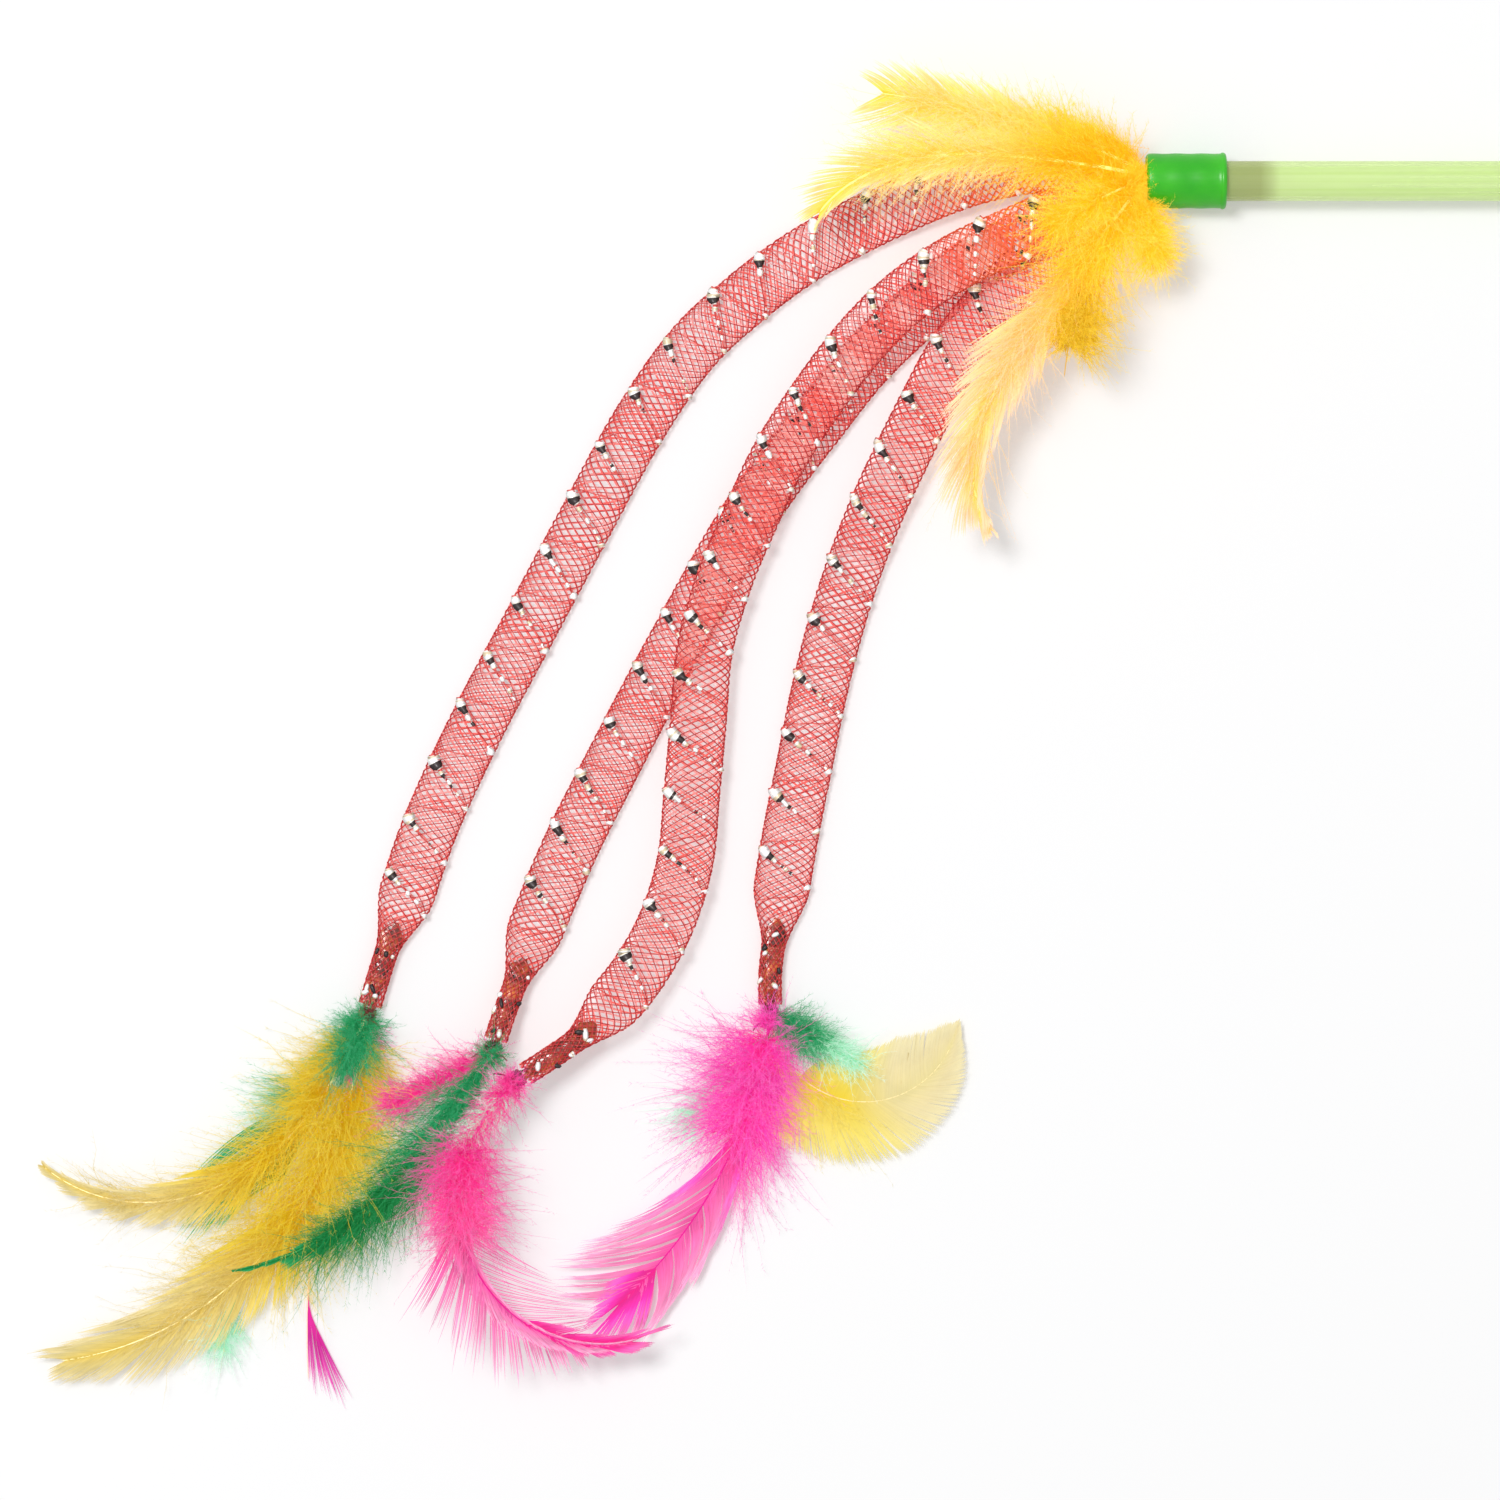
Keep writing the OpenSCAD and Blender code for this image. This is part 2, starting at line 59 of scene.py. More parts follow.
# Routes of the streamers in mm from the middle of the mouth, as in the part's source
ROUTES = {
    1: [
        [-0.5, 1.1, 0], [-3, 1.3, -0.2], [-6, 1.8, -0.5], [-10, 2.3, -0.8], [-15, 2.5, -0.9],
        [-21, 1.8, -0.9], [-28, 0, -1.6], [-36, -3.2, -2.6], [-44, -7, -3.2], [-52, -11.5, -3.2],
        [-60, -17.5, -3.2], [-68, -25, -3.2], [-76, -36.5, -3.2], [-84, -51, -3.2], [-92, -66, -3.2],
        [-100, -81, -3.2], [-107, -96, -3.2], [-111.5, -109, -3.2], [-114, -116, -3.1],
        [-116.3, -123.5, -2.95],
    ],
    2: [
        [-0.5, 0, 1.3], [-3, -0.6, 1.35], [-7, -2.4, 1.4], [-13, -5.2, 1.4], [-20, -8.3, 1.4],
        [-28, -12, 1.4], [-36, -17.4, 1.4], [-43, -24.3, 0.7], [-50, -33.6, -0.5], [-55, -41.5, -0.9],
        [-59, -50, -0.9], [-63, -59.5, -0.9], [-66, -70, -0.9], [-67, -81, -0.9], [-68, -92, -0.9],
        [-69, -102, -0.9], [-72, -111.5, -0.8], [-77, -120, -0.2], [-84, -127.5, 1],
        [-89.5, -131.5, 2], [-92.8, -133.6, 2.65],
    ],
    3: [
        [-0.5, 0, -1.3], [-3, -0.8, -1.8], [-7, -2.8, -2.5], [-13, -5.9, -3.1], [-20, -9.3, -3.2],
        [-27, -13.2, -3.2], [-34, -19.3, -3.2], [-42, -27, -3.2], [-49, -35.8, -3.2],
        [-56, -45, -3.2], [-62, -54.3, -3.2], [-68, -65, -3.2], [-74, -76, -3.2], [-80, -87.5, -3.2],
        [-86, -99.3, -3.2], [-91, -111, -3.2], [-94, -119, -2.4], [-96, -124.5, -1.2],
        [-97.3, -128.5, -0.05],
    ],
    4: [
        [-0.5, -1.1, 0], [-2.5, -1.5, -0.2], [-5.5, -3.2, -0.5], [-9.5, -6.5, -0.8],
        [-14, -10.3, -0.9], [-19, -14.5, -0.9], [-24, -19.6, -0.9], [-29, -26.5, -0.9],
        [-33, -34, -0.9], [-36.5, -41, -0.9], [-40, -48.5, -1.8], [-43.5, -57.5, -2.9],
        [-46.5, -67, -3.2], [-49, -77, -3.2], [-51, -87, -3.2], [-53, -97, -3.2],
        [-54.5, -106, -3.2], [-55.5, -113, -3.1], [-56.2, -118.5, -3], [-56.2, -123.4, -2.95],
    ],
}


# ---- nodes
def put(socket, value):
    """Links a socket to another, or sets its value. A colour may leave out its alpha."""
    if isinstance(value, bpy.types.NodeSocket):
        socket.id_data.links.new(value, socket)
    elif socket.type == "RGBA":
        socket.default_value = (*value[:3], 1)
    else:
        socket.default_value = value


def add_node(tree, kind, inputs=(), pick=0, **settings):
    """Adds a shader node with its settings and inputs, and returns the output that pick names."""
    made = tree.nodes.new("ShaderNode" + kind)
    for key, value in settings.items():
        setattr(made, key, value)
    for key, value in dict(inputs).items():
        put(made.inputs[key], value)
    return made.outputs[pick]


class Look:
    """A Principled material, and the nodes that feed it."""

    def __init__(self, name):
        self.mat = bpy.data.materials.new(name)
        self.mat.use_nodes = True
        self.tree = self.mat.node_tree
        self.bsdf = self.tree.nodes["Principled BSDF"]

    def node(self, kind, inputs=(), pick=0, **settings):
        """Adds a node to this material."""
        return add_node(self.tree, kind, inputs, pick, **settings)

    def uv(self):
        """The piece's UV map, its U and its V."""
        uv = self.node("UVMap", uv_map="OFBake")
        u = self.node("SeparateXYZ", {"Vector": uv})
        return uv, u, u.node.outputs["Y"]

    def place(self):
        """Object coordinates."""
        return self.node("TexCoord", pick="Object")

    def noise(self, at, detail, stretch=None, scale=1, **more):
        """Noise at a place that may be stretched along each axis first."""
        if stretch:
            at = self.node("Mapping", {"Vector": at, "Scale": stretch})
        return self.node("TexNoise", {"Vector": at, "Scale": scale, "Detail": detail, **more})

    def ramp(self, source, *stops):
        """A linear ramp over stops of (place, grey or colour)."""
        colour = self.node("ValToRGB", {"Fac": source})
        items = colour.node.color_ramp.elements
        while len(items) < len(stops):
            items.new(0.5)
        for item, (place, value) in zip(items, stops):
            item.position = place
            item.color = (*np.broadcast_to(value, 3).tolist(), 1)
        return colour

    def mix(self, share, a, b, blend="MIX"):
        """Mix of two colours, or a blend of them, by share."""
        return self.node("Mix", {0: share, 6: a, 7: b}, 2, data_type="RGBA", blend_type=blend)

    def skin(self, base, rough, height, strength, distance, more=()):
        """Gives the shader its colour, roughness and bump, and more inputs by name. Returns the material."""
        bump = self.node("Bump", {"Height": height, "Strength": strength, "Distance": distance})
        for key, value in {"Base Color": base, "Roughness": rough, "Normal": bump, **dict(more)}.items():
            put(self.bsdf.inputs[key], value)
        return self.mat


# ---- camera, light and floor
def add_object(name, data):
    """Links a new object for data into the scene."""
    obj = bpy.data.objects.new(name, data)
    bpy.context.collection.objects.link(obj)
    return obj


def make_camera():
    """Looks straight down on the middle of the photographed frame, 225 mm wide, from 1.125 m."""
    data = bpy.data.cameras.new("camera")
    data.lens, data.sensor_width = 180, 36
    data.clip_end = 20
    obj = add_object("camera", data)
    obj.location = (-0.36325, -0.0852, 1.123)
    bpy.context.scene.camera = obj


def make_lamp(name, place, size, watts, target=(-0.36, -0.09, 0)):
    """A square soft box at place that faces target."""
    data = bpy.data.lights.new(name, "AREA")
    data.shape, data.size, data.energy = "SQUARE", size, watts
    obj = add_object(name, data)
    obj.location = place
    way = np.array(target) - np.array(place)
    yaw = math.atan2(way[1], way[0])
    pitch = math.atan2(math.hypot(way[0], way[1]), -way[2])
    obj.rotation_euler = (0, -pitch, yaw)


def make_world(fill):
    """White all round. fill is its strength as light; the camera, mirrors and glass see full white."""
    world = bpy.data.worlds.new("studio")
    bpy.context.scene.world = world
    world.use_nodes = True
    tree = world.node_tree
    rays = add_node(tree, "LightPath").node.outputs
    seen = rays["Is Camera Ray"]
    for kind in ("Is Glossy Ray", "Is Transmission Ray"):
        seen = add_node(tree, "Math", {0: seen, 1: rays[kind]}, operation="MAXIMUM")
    back = tree.nodes["Background"].inputs
    put(back["Color"], (1, 1, 1))
    put(back["Strength"], add_node(tree, "MapRange", {"Value": seen, "To Min": fill, "To Max": 1}))


def make_floor():
    """Pale level floor just under the part. To the camera a share of it is plain white, so that it stays
    neutral beside bright colours."""
    white_share, half = 0.28, 3
    me = bpy.data.meshes.new("floor")
    z = (FLOOR_Z - 0.02) * MM
    corners = [(-half, -half, z), (half, -half, z), (half, half, z), (-half, half, z)]
    me.from_pydata(corners, [], [(0, 1, 2, 3)])
    obj = add_object("floor", me)
    look = Look("floor_white")
    for key, value in (("Base Color", (0.93, 0.93, 0.935)), ("Roughness", 1), ("Specular IOR Level", 0)):
        put(look.bsdf.inputs[key], value)
    seen = look.node("LightPath", pick="Is Camera Ray")
    share = look.node("Math", {0: seen, 1: white_share}, operation="MULTIPLY")
    both = look.node("MixShader", {0: share, 1: look.bsdf.outputs["BSDF"], 2: look.node("Emission")})
    put(look.tree.nodes["Material Output"].inputs["Surface"], both)
    me.materials.append(look.mat)


# ---- mesh building
class Mesh:
    """Gathers vertices, faces and their UVs as whole arrays, by the faces' number of corners."""

    def __init__(self):
        self.verts, self.count, self.faces = [], 0, {3: [], 4: []}

    def add(self, verts, faces, uv=None, corners=None, smooth=True):
        """Adds n strands with the same arrays of faces. verts is (n, k, 3) in mm, and uv is (n, k, 2), or
        else corners is the UV of each face's corners."""
        n, k = verts.shape[:2]
        shift = self.count + k * np.arange(n)[:, None, None]
        for ids in faces:
            size = ids.shape[1]
            places = (corners if uv is None else uv[:, ids]).reshape(-1, 2)
            self.faces[size].append(((ids + shift).reshape(-1, size), places, np.full(n * len(ids), smooth)))
        self.verts.append(verts.reshape(-1, 3))
        self.count += n * k

    def hand_over(self, name, mat, body, slot, replaced=None):
        """Writes the gathered arrays into one mesh object, puts it under its body's empty, and hides the
        solid it stands for, if any. slot is not used."""
        loops, starts, smooth, uvs, at = [], [], [], [], 0
        for size, faces in self.faces.items():
            for ids, places, soft in faces:
                loops.append(ids.ravel())
                starts.append(at + size * np.arange(len(ids)))
                smooth.append(soft)
                uvs.append(places)
                at += ids.size
        verts, loops, starts, smooth, uvs = map(np.concatenate, (self.verts, loops, starts, smooth, uvs))
        me = bpy.data.meshes.new(name)
        me.vertices.add(len(verts))
        me.vertices.foreach_set("co", (verts * MM).astype(np.float32).ravel())
        me.loops.add(at)
        me.loops.foreach_set("vertex_index", loops.astype(np.int32))
        me.polygons.add(len(starts))
        me.polygons.foreach_set("loop_start", starts.astype(np.int32))
        me.polygons.foreach_set("use_smooth", smooth)
        me.update(calc_edges=True)
        layer = me.uv_layers.new(name="OFBake")
        layer.uv.foreach_set("vector", uvs.astype(np.float32).ravel())
        me.materials.append(mat)
        obj = add_object(name, me)
        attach(obj, body)
        if replaced:
            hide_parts(replaced)
        return obj


def unit(v):
    """v divided by its length, along the last axis."""
    return v / np.maximum(np.linalg.norm(v, axis=-1, keepdims=True), 1e-9)


def row_at(table, runs, s):
    """A table of one row of three for each of runs, read at s."""
    return np.stack([np.interp(s, runs, table[:, i]) for i in range(3)], -1)


def tubes(mesh, path, wide, thick, along, across, sides=3, up=(0, 0, 1), pointed=True, smooth=True):
    """Closed strands. path is (n, k, 3), or (k, 3) for one; wide and thick are full sizes across it and along
    up, and each cross-section is a regular polygon stretched to them. along is U, and across + side * 0.004
    is V, for each strand or each of its places. The last ring is one point where pointed is true."""
    path = path.reshape(-1, *path.shape[-2:])
    n, k = path.shape[:2]
    across = np.asarray(across, float)
    across = across[:, None] if across.ndim == 1 else across
    wide, thick, along, across = (np.broadcast_to(x, (n, k)) for x in (wide, thick, along, across))
    ahead = unit(np.gradient(path, axis=1))
    side = unit(np.cross(np.broadcast_to(np.asarray(up, float), path.shape), ahead))
    over = np.cross(ahead, side)
    angle = 2 * np.pi * (np.arange(sides) + 0.5) / sides - np.pi / 2 - np.pi / sides
    rings = k - 1 if pointed else k
    ring = (
        path[:, :rings, None]
        + side[:, :rings, None] * (0.5 * wide[:, :rings, None] * np.cos(angle))[..., None]
        + over[:, :rings, None] * (0.5 * thick[:, :rings, None] * np.sin(angle))[..., None]
    )
    verts = ring.reshape(n, rings * sides, 3)
    j, i = np.meshgrid(np.arange(rings - 1), np.arange(sides), indexing="ij")
    a, b = j * sides + i, j * sides + (i + 1) % sides
    quads = np.stack([a, b, b + sides, a + sides], -1).reshape(-1, 4)
    fan = np.arange(1, sides - 1)
    first = np.stack([0 * fan, fan + 1, fan], -1)
    last_ring = (rings - 1) * sides
    u = np.repeat(along[:, :rings], sides, axis=1)
    v = np.repeat(across[:, :rings], sides, axis=1) + np.tile(0.004 * np.arange(sides), rings)
    if pointed:
        verts = np.concatenate([verts, path[:, -1:]], axis=1)
        u = np.concatenate([u, along[:, -1:]], axis=1)
        v = np.concatenate([v, across[:, -1:] + 0.004], axis=1)
        i = np.arange(sides)
        last = np.stack([last_ring + i, last_ring + (i + 1) % sides, np.full(sides, rings * sides)], -1)
    else:
        last = np.stack([0 * fan, fan, fan + 1], -1) + last_ring
    mesh.add(verts, [np.concatenate([first, last]), quads], np.stack([u, v], -1), smooth=smooth)


def spikes(mesh, root, tip, wide, along, across):
    """Hairs of four faces each: a small triangle at root (n, 3) drawn to a point at tip (n, 3)."""
    ahead = unit(tip - root)
    side = unit(np.cross(np.array([0.05, 0.02, 1]), ahead))
    over = np.cross(ahead, side)
    angle = 2 * np.pi * np.arange(3) / 3 - np.pi / 2 - np.pi / 3
    ring = root[:, None] + 0.5 * wide * (
        side[:, None] * np.cos(angle)[:, None] + over[:, None] * np.sin(angle)[:, None]
    )
    tris = np.array([[0, 2, 1], [0, 1, 3], [1, 2, 3], [2, 0, 3]])
    uv = np.stack([along, across], -1)[:, None] + np.array([[0, 0], [0, 0.006], [0.006, 0], [0.02, 0.01]])
    mesh.add(np.concatenate([ring, tip[:, None]], axis=1), [tris], uv, smooth=False)


def lathe(mesh, profile, sides):
    """Closed ring of revolution about X. profile is a closed loop of (x, radius) in mm, anticlockwise in
    (x, radius), smooth where its points are close."""
    loop = np.array(profile, float)
    n = len(loop)
    x, r = loop[:, :1], loop[:, 1:]
    a = 2 * np.pi * np.arange(sides) / sides
    verts = np.stack([np.repeat(x, sides, 1), r * np.cos(a), r * np.sin(a)], -1)
    j, i = np.meshgrid(np.arange(n), np.arange(sides), indexing="ij")
    here, beside = j * sides + i, j * sides + (i + 1) % sides
    after, diagonal = (j + 1) % n * sides + i, (j + 1) % n * sides + (i + 1) % sides
    quads = np.stack([here, after, diagonal, beside], -1).reshape(-1, 4)
    run = np.concatenate([[0], np.cumsum(np.linalg.norm(np.roll(loop, -1, 0) - loop, axis=1))])
    run /= run[-1]
    u = np.stack([run[j], run[j + 1], run[j + 1], run[j]], -1)
    v = np.stack([i / sides, i / sides, (i + 1) / sides, (i + 1) / sides], -1)
    mesh.add(verts.reshape(1, -1, 3), [quads], corners=np.stack([u, v], -1))


# ---- materials
def feather_material(name, down, vane, change, streak, quill):
    """Feather on the piece's UV map, where U runs out along each barb and V along the feather. down and vane
    are (root, middle, tip) colours; change is V where down gives way to vane; V over 0.96 is the quill. Fine
    noise in V streaks barb from barb. A little painted glow of its own stands for the light that comes
    through the barbs."""
    look = Look(name)
    uv, u, v = look.uv()
    soft = look.ramp(u, (0, down[0]), (0.45, down[1]), (1, down[2]))
    firm = look.ramp(u, (0, vane[0]), (0.5, vane[1]), (1, vane[2]))
    share = look.ramp(v, (max(0, change - 0.08), 0), (min(0.95, change + 0.08), 1))
    base = look.mix(share, soft, firm)
    fine = look.noise(uv, 2, (2, 190, 1))
    broad = look.noise(uv, 3, (2.5, 9, 1))
    for noise in (fine, broad):
        base = look.mix(1, base, look.ramp(noise, (0.3, 1 - streak), (0.7, 1)), "MULTIPLY")
    base = look.mix(look.ramp(v, (0.958, 0), (0.962, 1)), base, quill)
    # Emission from the base colour: painted glow for the light through the barbs
    return look.skin(base, look.ramp(broad, (0.3, 0.5), (0.7, 0.75)), fine, 0.25, 0.00005, {
        "Emission Color": base, "Emission Strength": SELF_GLOW, "Specular IOR Level": 0.15,
        "Sheen Weight": 0.06, "Sheen Roughness": 0.5, "Sheen Tint": (1, 0.95, 0.95)})


def net_material():
    """Clear red nylon on the piece's UV map, where V to 0.78 is height in the tube, with painted light and
    shade:
    pale underneath, as if lit by light coming up through it, and dark as if shaded at the edges and on top. V
    over
    0.88 is a painted deep bright red, for the light through two nets one on the other. Broad noise makes the
    pale and the deep parts lighter and redder by turns along the tube. Fine noise along U lightens parts of
    each strand, and its first part took dye from the feathers. A little painted glow from the colour stands
    for light through the nylon."""
    look = Look("net_nylon")
    uv, along, height = look.uv()
    zone = look.ramp(look.noise(uv, 1, (44, 3, 1)), (0.42, 0), (0.56, 1))
    # Painted light and shade: the underside pale as if lit through the nylon, the edges and top dark as if
    # shaded
    under = look.mix(zone, (1, 0.15, 0.13), (1, 0.43, 0.41))
    over = look.ramp(height, (0.4, (0.4, 0.006, 0.011)), (0.78, (0.42, 0.007, 0.011)))
    # Painted deep red for the light through two layers of net, where another net lies on or under this one
    deep = look.mix(zone, (1, 0.14, 0.11), (1, 0.45, 0.4))
    base = look.mix(look.ramp(height, (0.3, 0), (0.39, 1)), under, over)
    base = look.mix(look.ramp(height, (0.8, 0), (0.87, 1)), base, deep)
    noise = look.noise(uv, 2, (420, 5, 1))
    base = look.mix(look.ramp(noise, (0.52, 0), (0.75, 0.6)), base, (1, 0.3, 0.26))
    base = look.mix(look.ramp(along, (0.1, 0.6), (0.2, 0)), base, (1, 0.22, 0.01))
    # Emission from the base colour: painted glow for light through the clear nylon
    return look.skin(base, look.ramp(noise, (0.3, 0.35), (0.7, 0.2)), noise, 0.2, 0.00003, {
        "Emission Color": base, "Emission Strength": 0.12, "IOR": 1.45})


def foil_material():
    """Crumpled foil strip on the piece's UV map: V under 0.2 is a fold painted near black as shade, 0.3 to
    0.5 its bright face, whiter and creamier by noise, and over 0.55 the red back that sinks into the net. A
    little painted glow from the colour brightens it all."""
    look = Look("foil")
    uv, _, across = look.uv()
    noise = look.noise(uv, 0, (430, 9, 1))
    bright = look.ramp(noise, (0.36, (0.75, 0.62, 0.42)), (0.45, (0.95, 0.93, 0.88)), (0.55, (1, 1, 1)))
    # Painted shade: the fold is near black beside the bright face
    base = look.mix(look.ramp(across, (0.2, 0), (0.28, 1)), (0.03, 0.02, 0.02), bright)
    base = look.mix(look.ramp(across, (0.49, 0), (0.54, 1)), base, (0.85, 0.14, 0.12))
    # Emission from the base colour: painted glow
    return look.skin(base, look.ramp(noise, (0.3, 0.3), (0.7, 0.45)), noise, 0.4, 0.0001, {
        "Metallic": 0.15, "Emission Color": base, "Emission Strength": 0.15})


def glue_material(name, low, middle, high, clear=0):
    """Set glue with streaks of dye, on Object coordinates, wet and slightly lumpy."""
    look = Look(name)
    noise = look.noise(look.place(), 4, scale=420, Distortion=0.6)
    base = look.ramp(noise, (0.32, low), (0.5, middle), (0.68, high))
    return look.skin(base, look.ramp(noise, (0.3, 0.12), (0.7, 0.3)), noise, 0.5, 0.0003, {
        "Coat Weight": 0.4, "Coat Roughness": 0.12, "Transmission Weight": clear})


def cap_material():
    """Soft green vinyl on Object coordinates: faint mottling, fine scuffs and a semi-gloss skin."""
    look = Look("cap_green")
    place = look.place()
    scuff = look.noise(place, 2, (300, 2600, 2600))
    mottle = look.noise(place, 3, scale=180)
    base = look.ramp(mottle, (0.3, (0.014, 0.4, 0.002)), (0.7, (0.035, 0.5, 0.004)))
    return look.skin(base, look.ramp(scuff, (0.35, 0.3), (0.65, 0.42)), scuff, 0.12, 0.0001, {
        "Subsurface Weight": 0.15, "Subsurface Radius": (0.2, 1, 0.2), "Subsurface Scale": 0.001})


def rod_material():
    """Clear lime tube on Object coordinates: draw lines along X, the brown of the glue stem inside it, and a
    little painted glow for light through the tube.
    """
    look = Look("rod_lime")
    place = look.place()
    lines = look.noise(place, 2, (12, 1500, 1500))
    base = look.ramp(lines, (0.3, (0.64, 0.8, 0.34)), (0.7, (0.74, 0.86, 0.47)))
    along = look.node("SeparateXYZ", {"Vector": place})
    stem_end = {"From Min": -0.287, "From Max": -0.284, "To Min": 0.65, "To Max": 0}
    base = look.mix(look.node("MapRange", {"Value": along, **stem_end}), base, (0.33, 0.37, 0.1))
    # Emission from the base colour: painted glow for light through the clear tube
    return look.skin(base, look.ramp(lines, (0.3, 0.18), (0.7, 0.3)), lines, 0.1, 0.0001, {
        "Transmission Weight": 0.45, "Emission Color": base, "Emission Strength": 0.12, "IOR": 1.46})


def thread_material():
    """Twisted sewing thread on the piece's UV map: plies at a slant with painted shade in the grooves between
    them, dyed unevenly by the glue.
    """
    look = Look("thread")
    uv = look.uv()[0]
    at = look.node("Mapping", {"Vector": uv, "Scale": (160, 12, 1), "Rotation": (0, 0, 0.5)})
    plies = look.node("TexWave", {"Vector": at, "Scale": 1, "Distortion": 0.5}, "Fac")
    dye = look.noise(look.place(), 2, scale=700)
    base = look.ramp(dye, (0.35, (0.05, 0.012, 0.012)), (0.55, (0.3, 0.04, 0.03)), (0.75, (0.6, 0.3, 0.12)))
    # Painted shade: darker in the grooves between the slanted plies
    base = look.mix(0.35, base, look.ramp(plies, (0.2, 0.35), (0.8, 1)), "MULTIPLY")
    return look.skin(base, look.ramp(plies, (0.2, 0.55), (0.8, 0.35)), plies, 0.6, 0.0001)


# ---- streamers
def ease(t):
    """Smooth step from 0 to 1."""
    t = np.clip(t, 0, 1)
    return t * t * (3 - 2 * t)


class Route:
    """One streamer's centre line, a Catmull-Rom curve through its points, with its frame and half sizes at
    any run from the mouth."""

    def __init__(self, n):
        step, per_span = 0.5, 24
        p = np.array(ROUTES[n], float)
        p = np.concatenate([2 * p[:1] - p[1:2], p, 2 * p[-1:] - p[-2:-1]])
        t = np.linspace(0, 1, per_span, endpoint=False)[:, None]
        a, b, c, d = p[:-3, None], p[1:-2, None], p[2:-1, None], p[3:, None]
        bends = (c - a) * t + (2 * a - 5 * b + 4 * c - d) * t**2 + (3 * b - a - 3 * c + d) * t**3
        line = np.concatenate([(0.5 * (2 * b + bends)).reshape(-1, 3), p[-2:-1]])
        run = np.concatenate([[0], np.cumsum(np.linalg.norm(np.diff(line, axis=0), axis=1))])
        self.run = np.linspace(0, run[-1], int(run[-1] / step) + 1)
        self.length = self.run[-1]
        self.place = row_at(line, run, self.run) + [MOUTH_X, 0, 0]
        ahead = unit(np.gradient(self.place, axis=0))
        self.side = unit(np.stack([-ahead[:, 1], ahead[:, 0], 0 * ahead[:, 0]], 1))
        self.up = np.cross(ahead, self.side)
        last = np.array(ROUTES[n][-1]) - np.array(ROUTES[n][-2])
        self.flat = unit(np.array([last[0], last[1], 0]))
        self.tie = self.place[-1] + self.flat * (TIE_R + NET_GAP)

    def at(self, table, s):
        """A table of one row per run, read at runs s."""
        return row_at(table, self.run, s)

    def half(self, s, full, neck):
        """Half width or half thickness at runs s."""
        from_tie = self.length - s
        opened = ROOT_D / 2 + (full - ROOT_D) / 2 * ease(s / OPEN_LEN)
        closed = neck / 2 + (full - neck) / 2 * ease((from_tie - NECK_LEN) / CLOSE_LEN)
        return np.minimum(opened, closed)

    def on_tube(self, s, around, out):
        """Points on the flattened tube at runs s and shares around its girth: 0 is its right edge, 0.25 its
        top, 0.5 its left edge. out is a distance off its skin."""
        angle = girth_angle(around)
        w, t = self.half(s, NET_W, NECK_W), self.half(s, NET_T, NECK_T)
        c, d = np.cos(angle), np.sin(angle)
        c = c * (1.35 - 0.35 * c * c)  # fuller towards its edges than an ellipse
        off = unit(np.stack([c / w, d / t], -1))
        return (
            self.at(self.place, s)
            + self.at(self.side, s) * (w * c + out * off[..., 0])[..., None]
            + self.at(self.up, s) * (t * d + out * off[..., 1])[..., None]
        )


ANGLES = np.linspace(0, 2 * np.pi, 721)
_girth = np.hypot(NET_W / 2 * np.sin(ANGLES), NET_T / 2 * np.cos(ANGLES))
GIRTH = np.concatenate([[0], np.cumsum((_girth[1:] + _girth[:-1]) / 2)])
GIRTH /= GIRTH[-1]


def girth_angle(around):
    """The angle in the flattened tube's ellipse at shares around its girth."""
    return np.interp(around % 1, GIRTH, ANGLES)


def make_net(n, route, mats, crossed=None):
    """Two families of helical nylon strands that pass over and under each other round the flattened tube. All
    twist slowly to and fro together, so the upper and lower layers line up in some places and miss each other
    in others. Strands are narrower on top. Where the net lies on or under the crossed route it takes the
    painted
    deep red of light through two nets: all of net 3, and the underside of net 2, which lies on it."""
    rng = np.random.default_rng(40 + n)
    mesh = Mesh()
    strands, turn, step = 12, 14, 0.46
    s = np.linspace(0.2, route.length, int(route.length / step))
    twist = 0.03 * np.sin(2 * np.pi * s / 17 + n) + 0.01 * np.sin(2 * np.pi * s / 6.1 + 2 * n)
    start = np.arange(strands) / strands
    for way in (1, -1):
        waver = 0.006 * np.sin(s[None] / 3.1 + rng.uniform(0, 6, (strands, 1)))
        around = start[:, None] + way * s[None] / turn + twist[None] + waver
        cross = np.cos(2 * np.pi * s / turn * strands)[None] * way
        path = route.on_tube(np.broadcast_to(s, around.shape), around, PASS * cross)
        height = np.sin(girth_angle(around))
        # V follows height round the tube, for the painted pale underside and the painted dark top
        row = 0.4 + 0.36 * height
        # Painted deep red where the other net lies over or under this one, standing for light through both
        if crossed is not None:
            apart = np.linalg.norm(path[..., None, :2] - crossed.place[::2, :2], axis=-1).min(-1)
            row = np.where((apart < OVERLAP) & (height < (-0.1 if n == 2 else 2)), PAINTED_OVERLAP_ROW, row)
        tubes(mesh, path, 0.25 - 0.075 * height, 0.11, s / route.length, row, up=(0.03, 0.02, 1),
              pointed=False, smooth=False)
    net = mesh.hand_over(f"net_{n}", mats["net"], f"streamer_{n}", "net_red", f"mesh_tube_{n}")


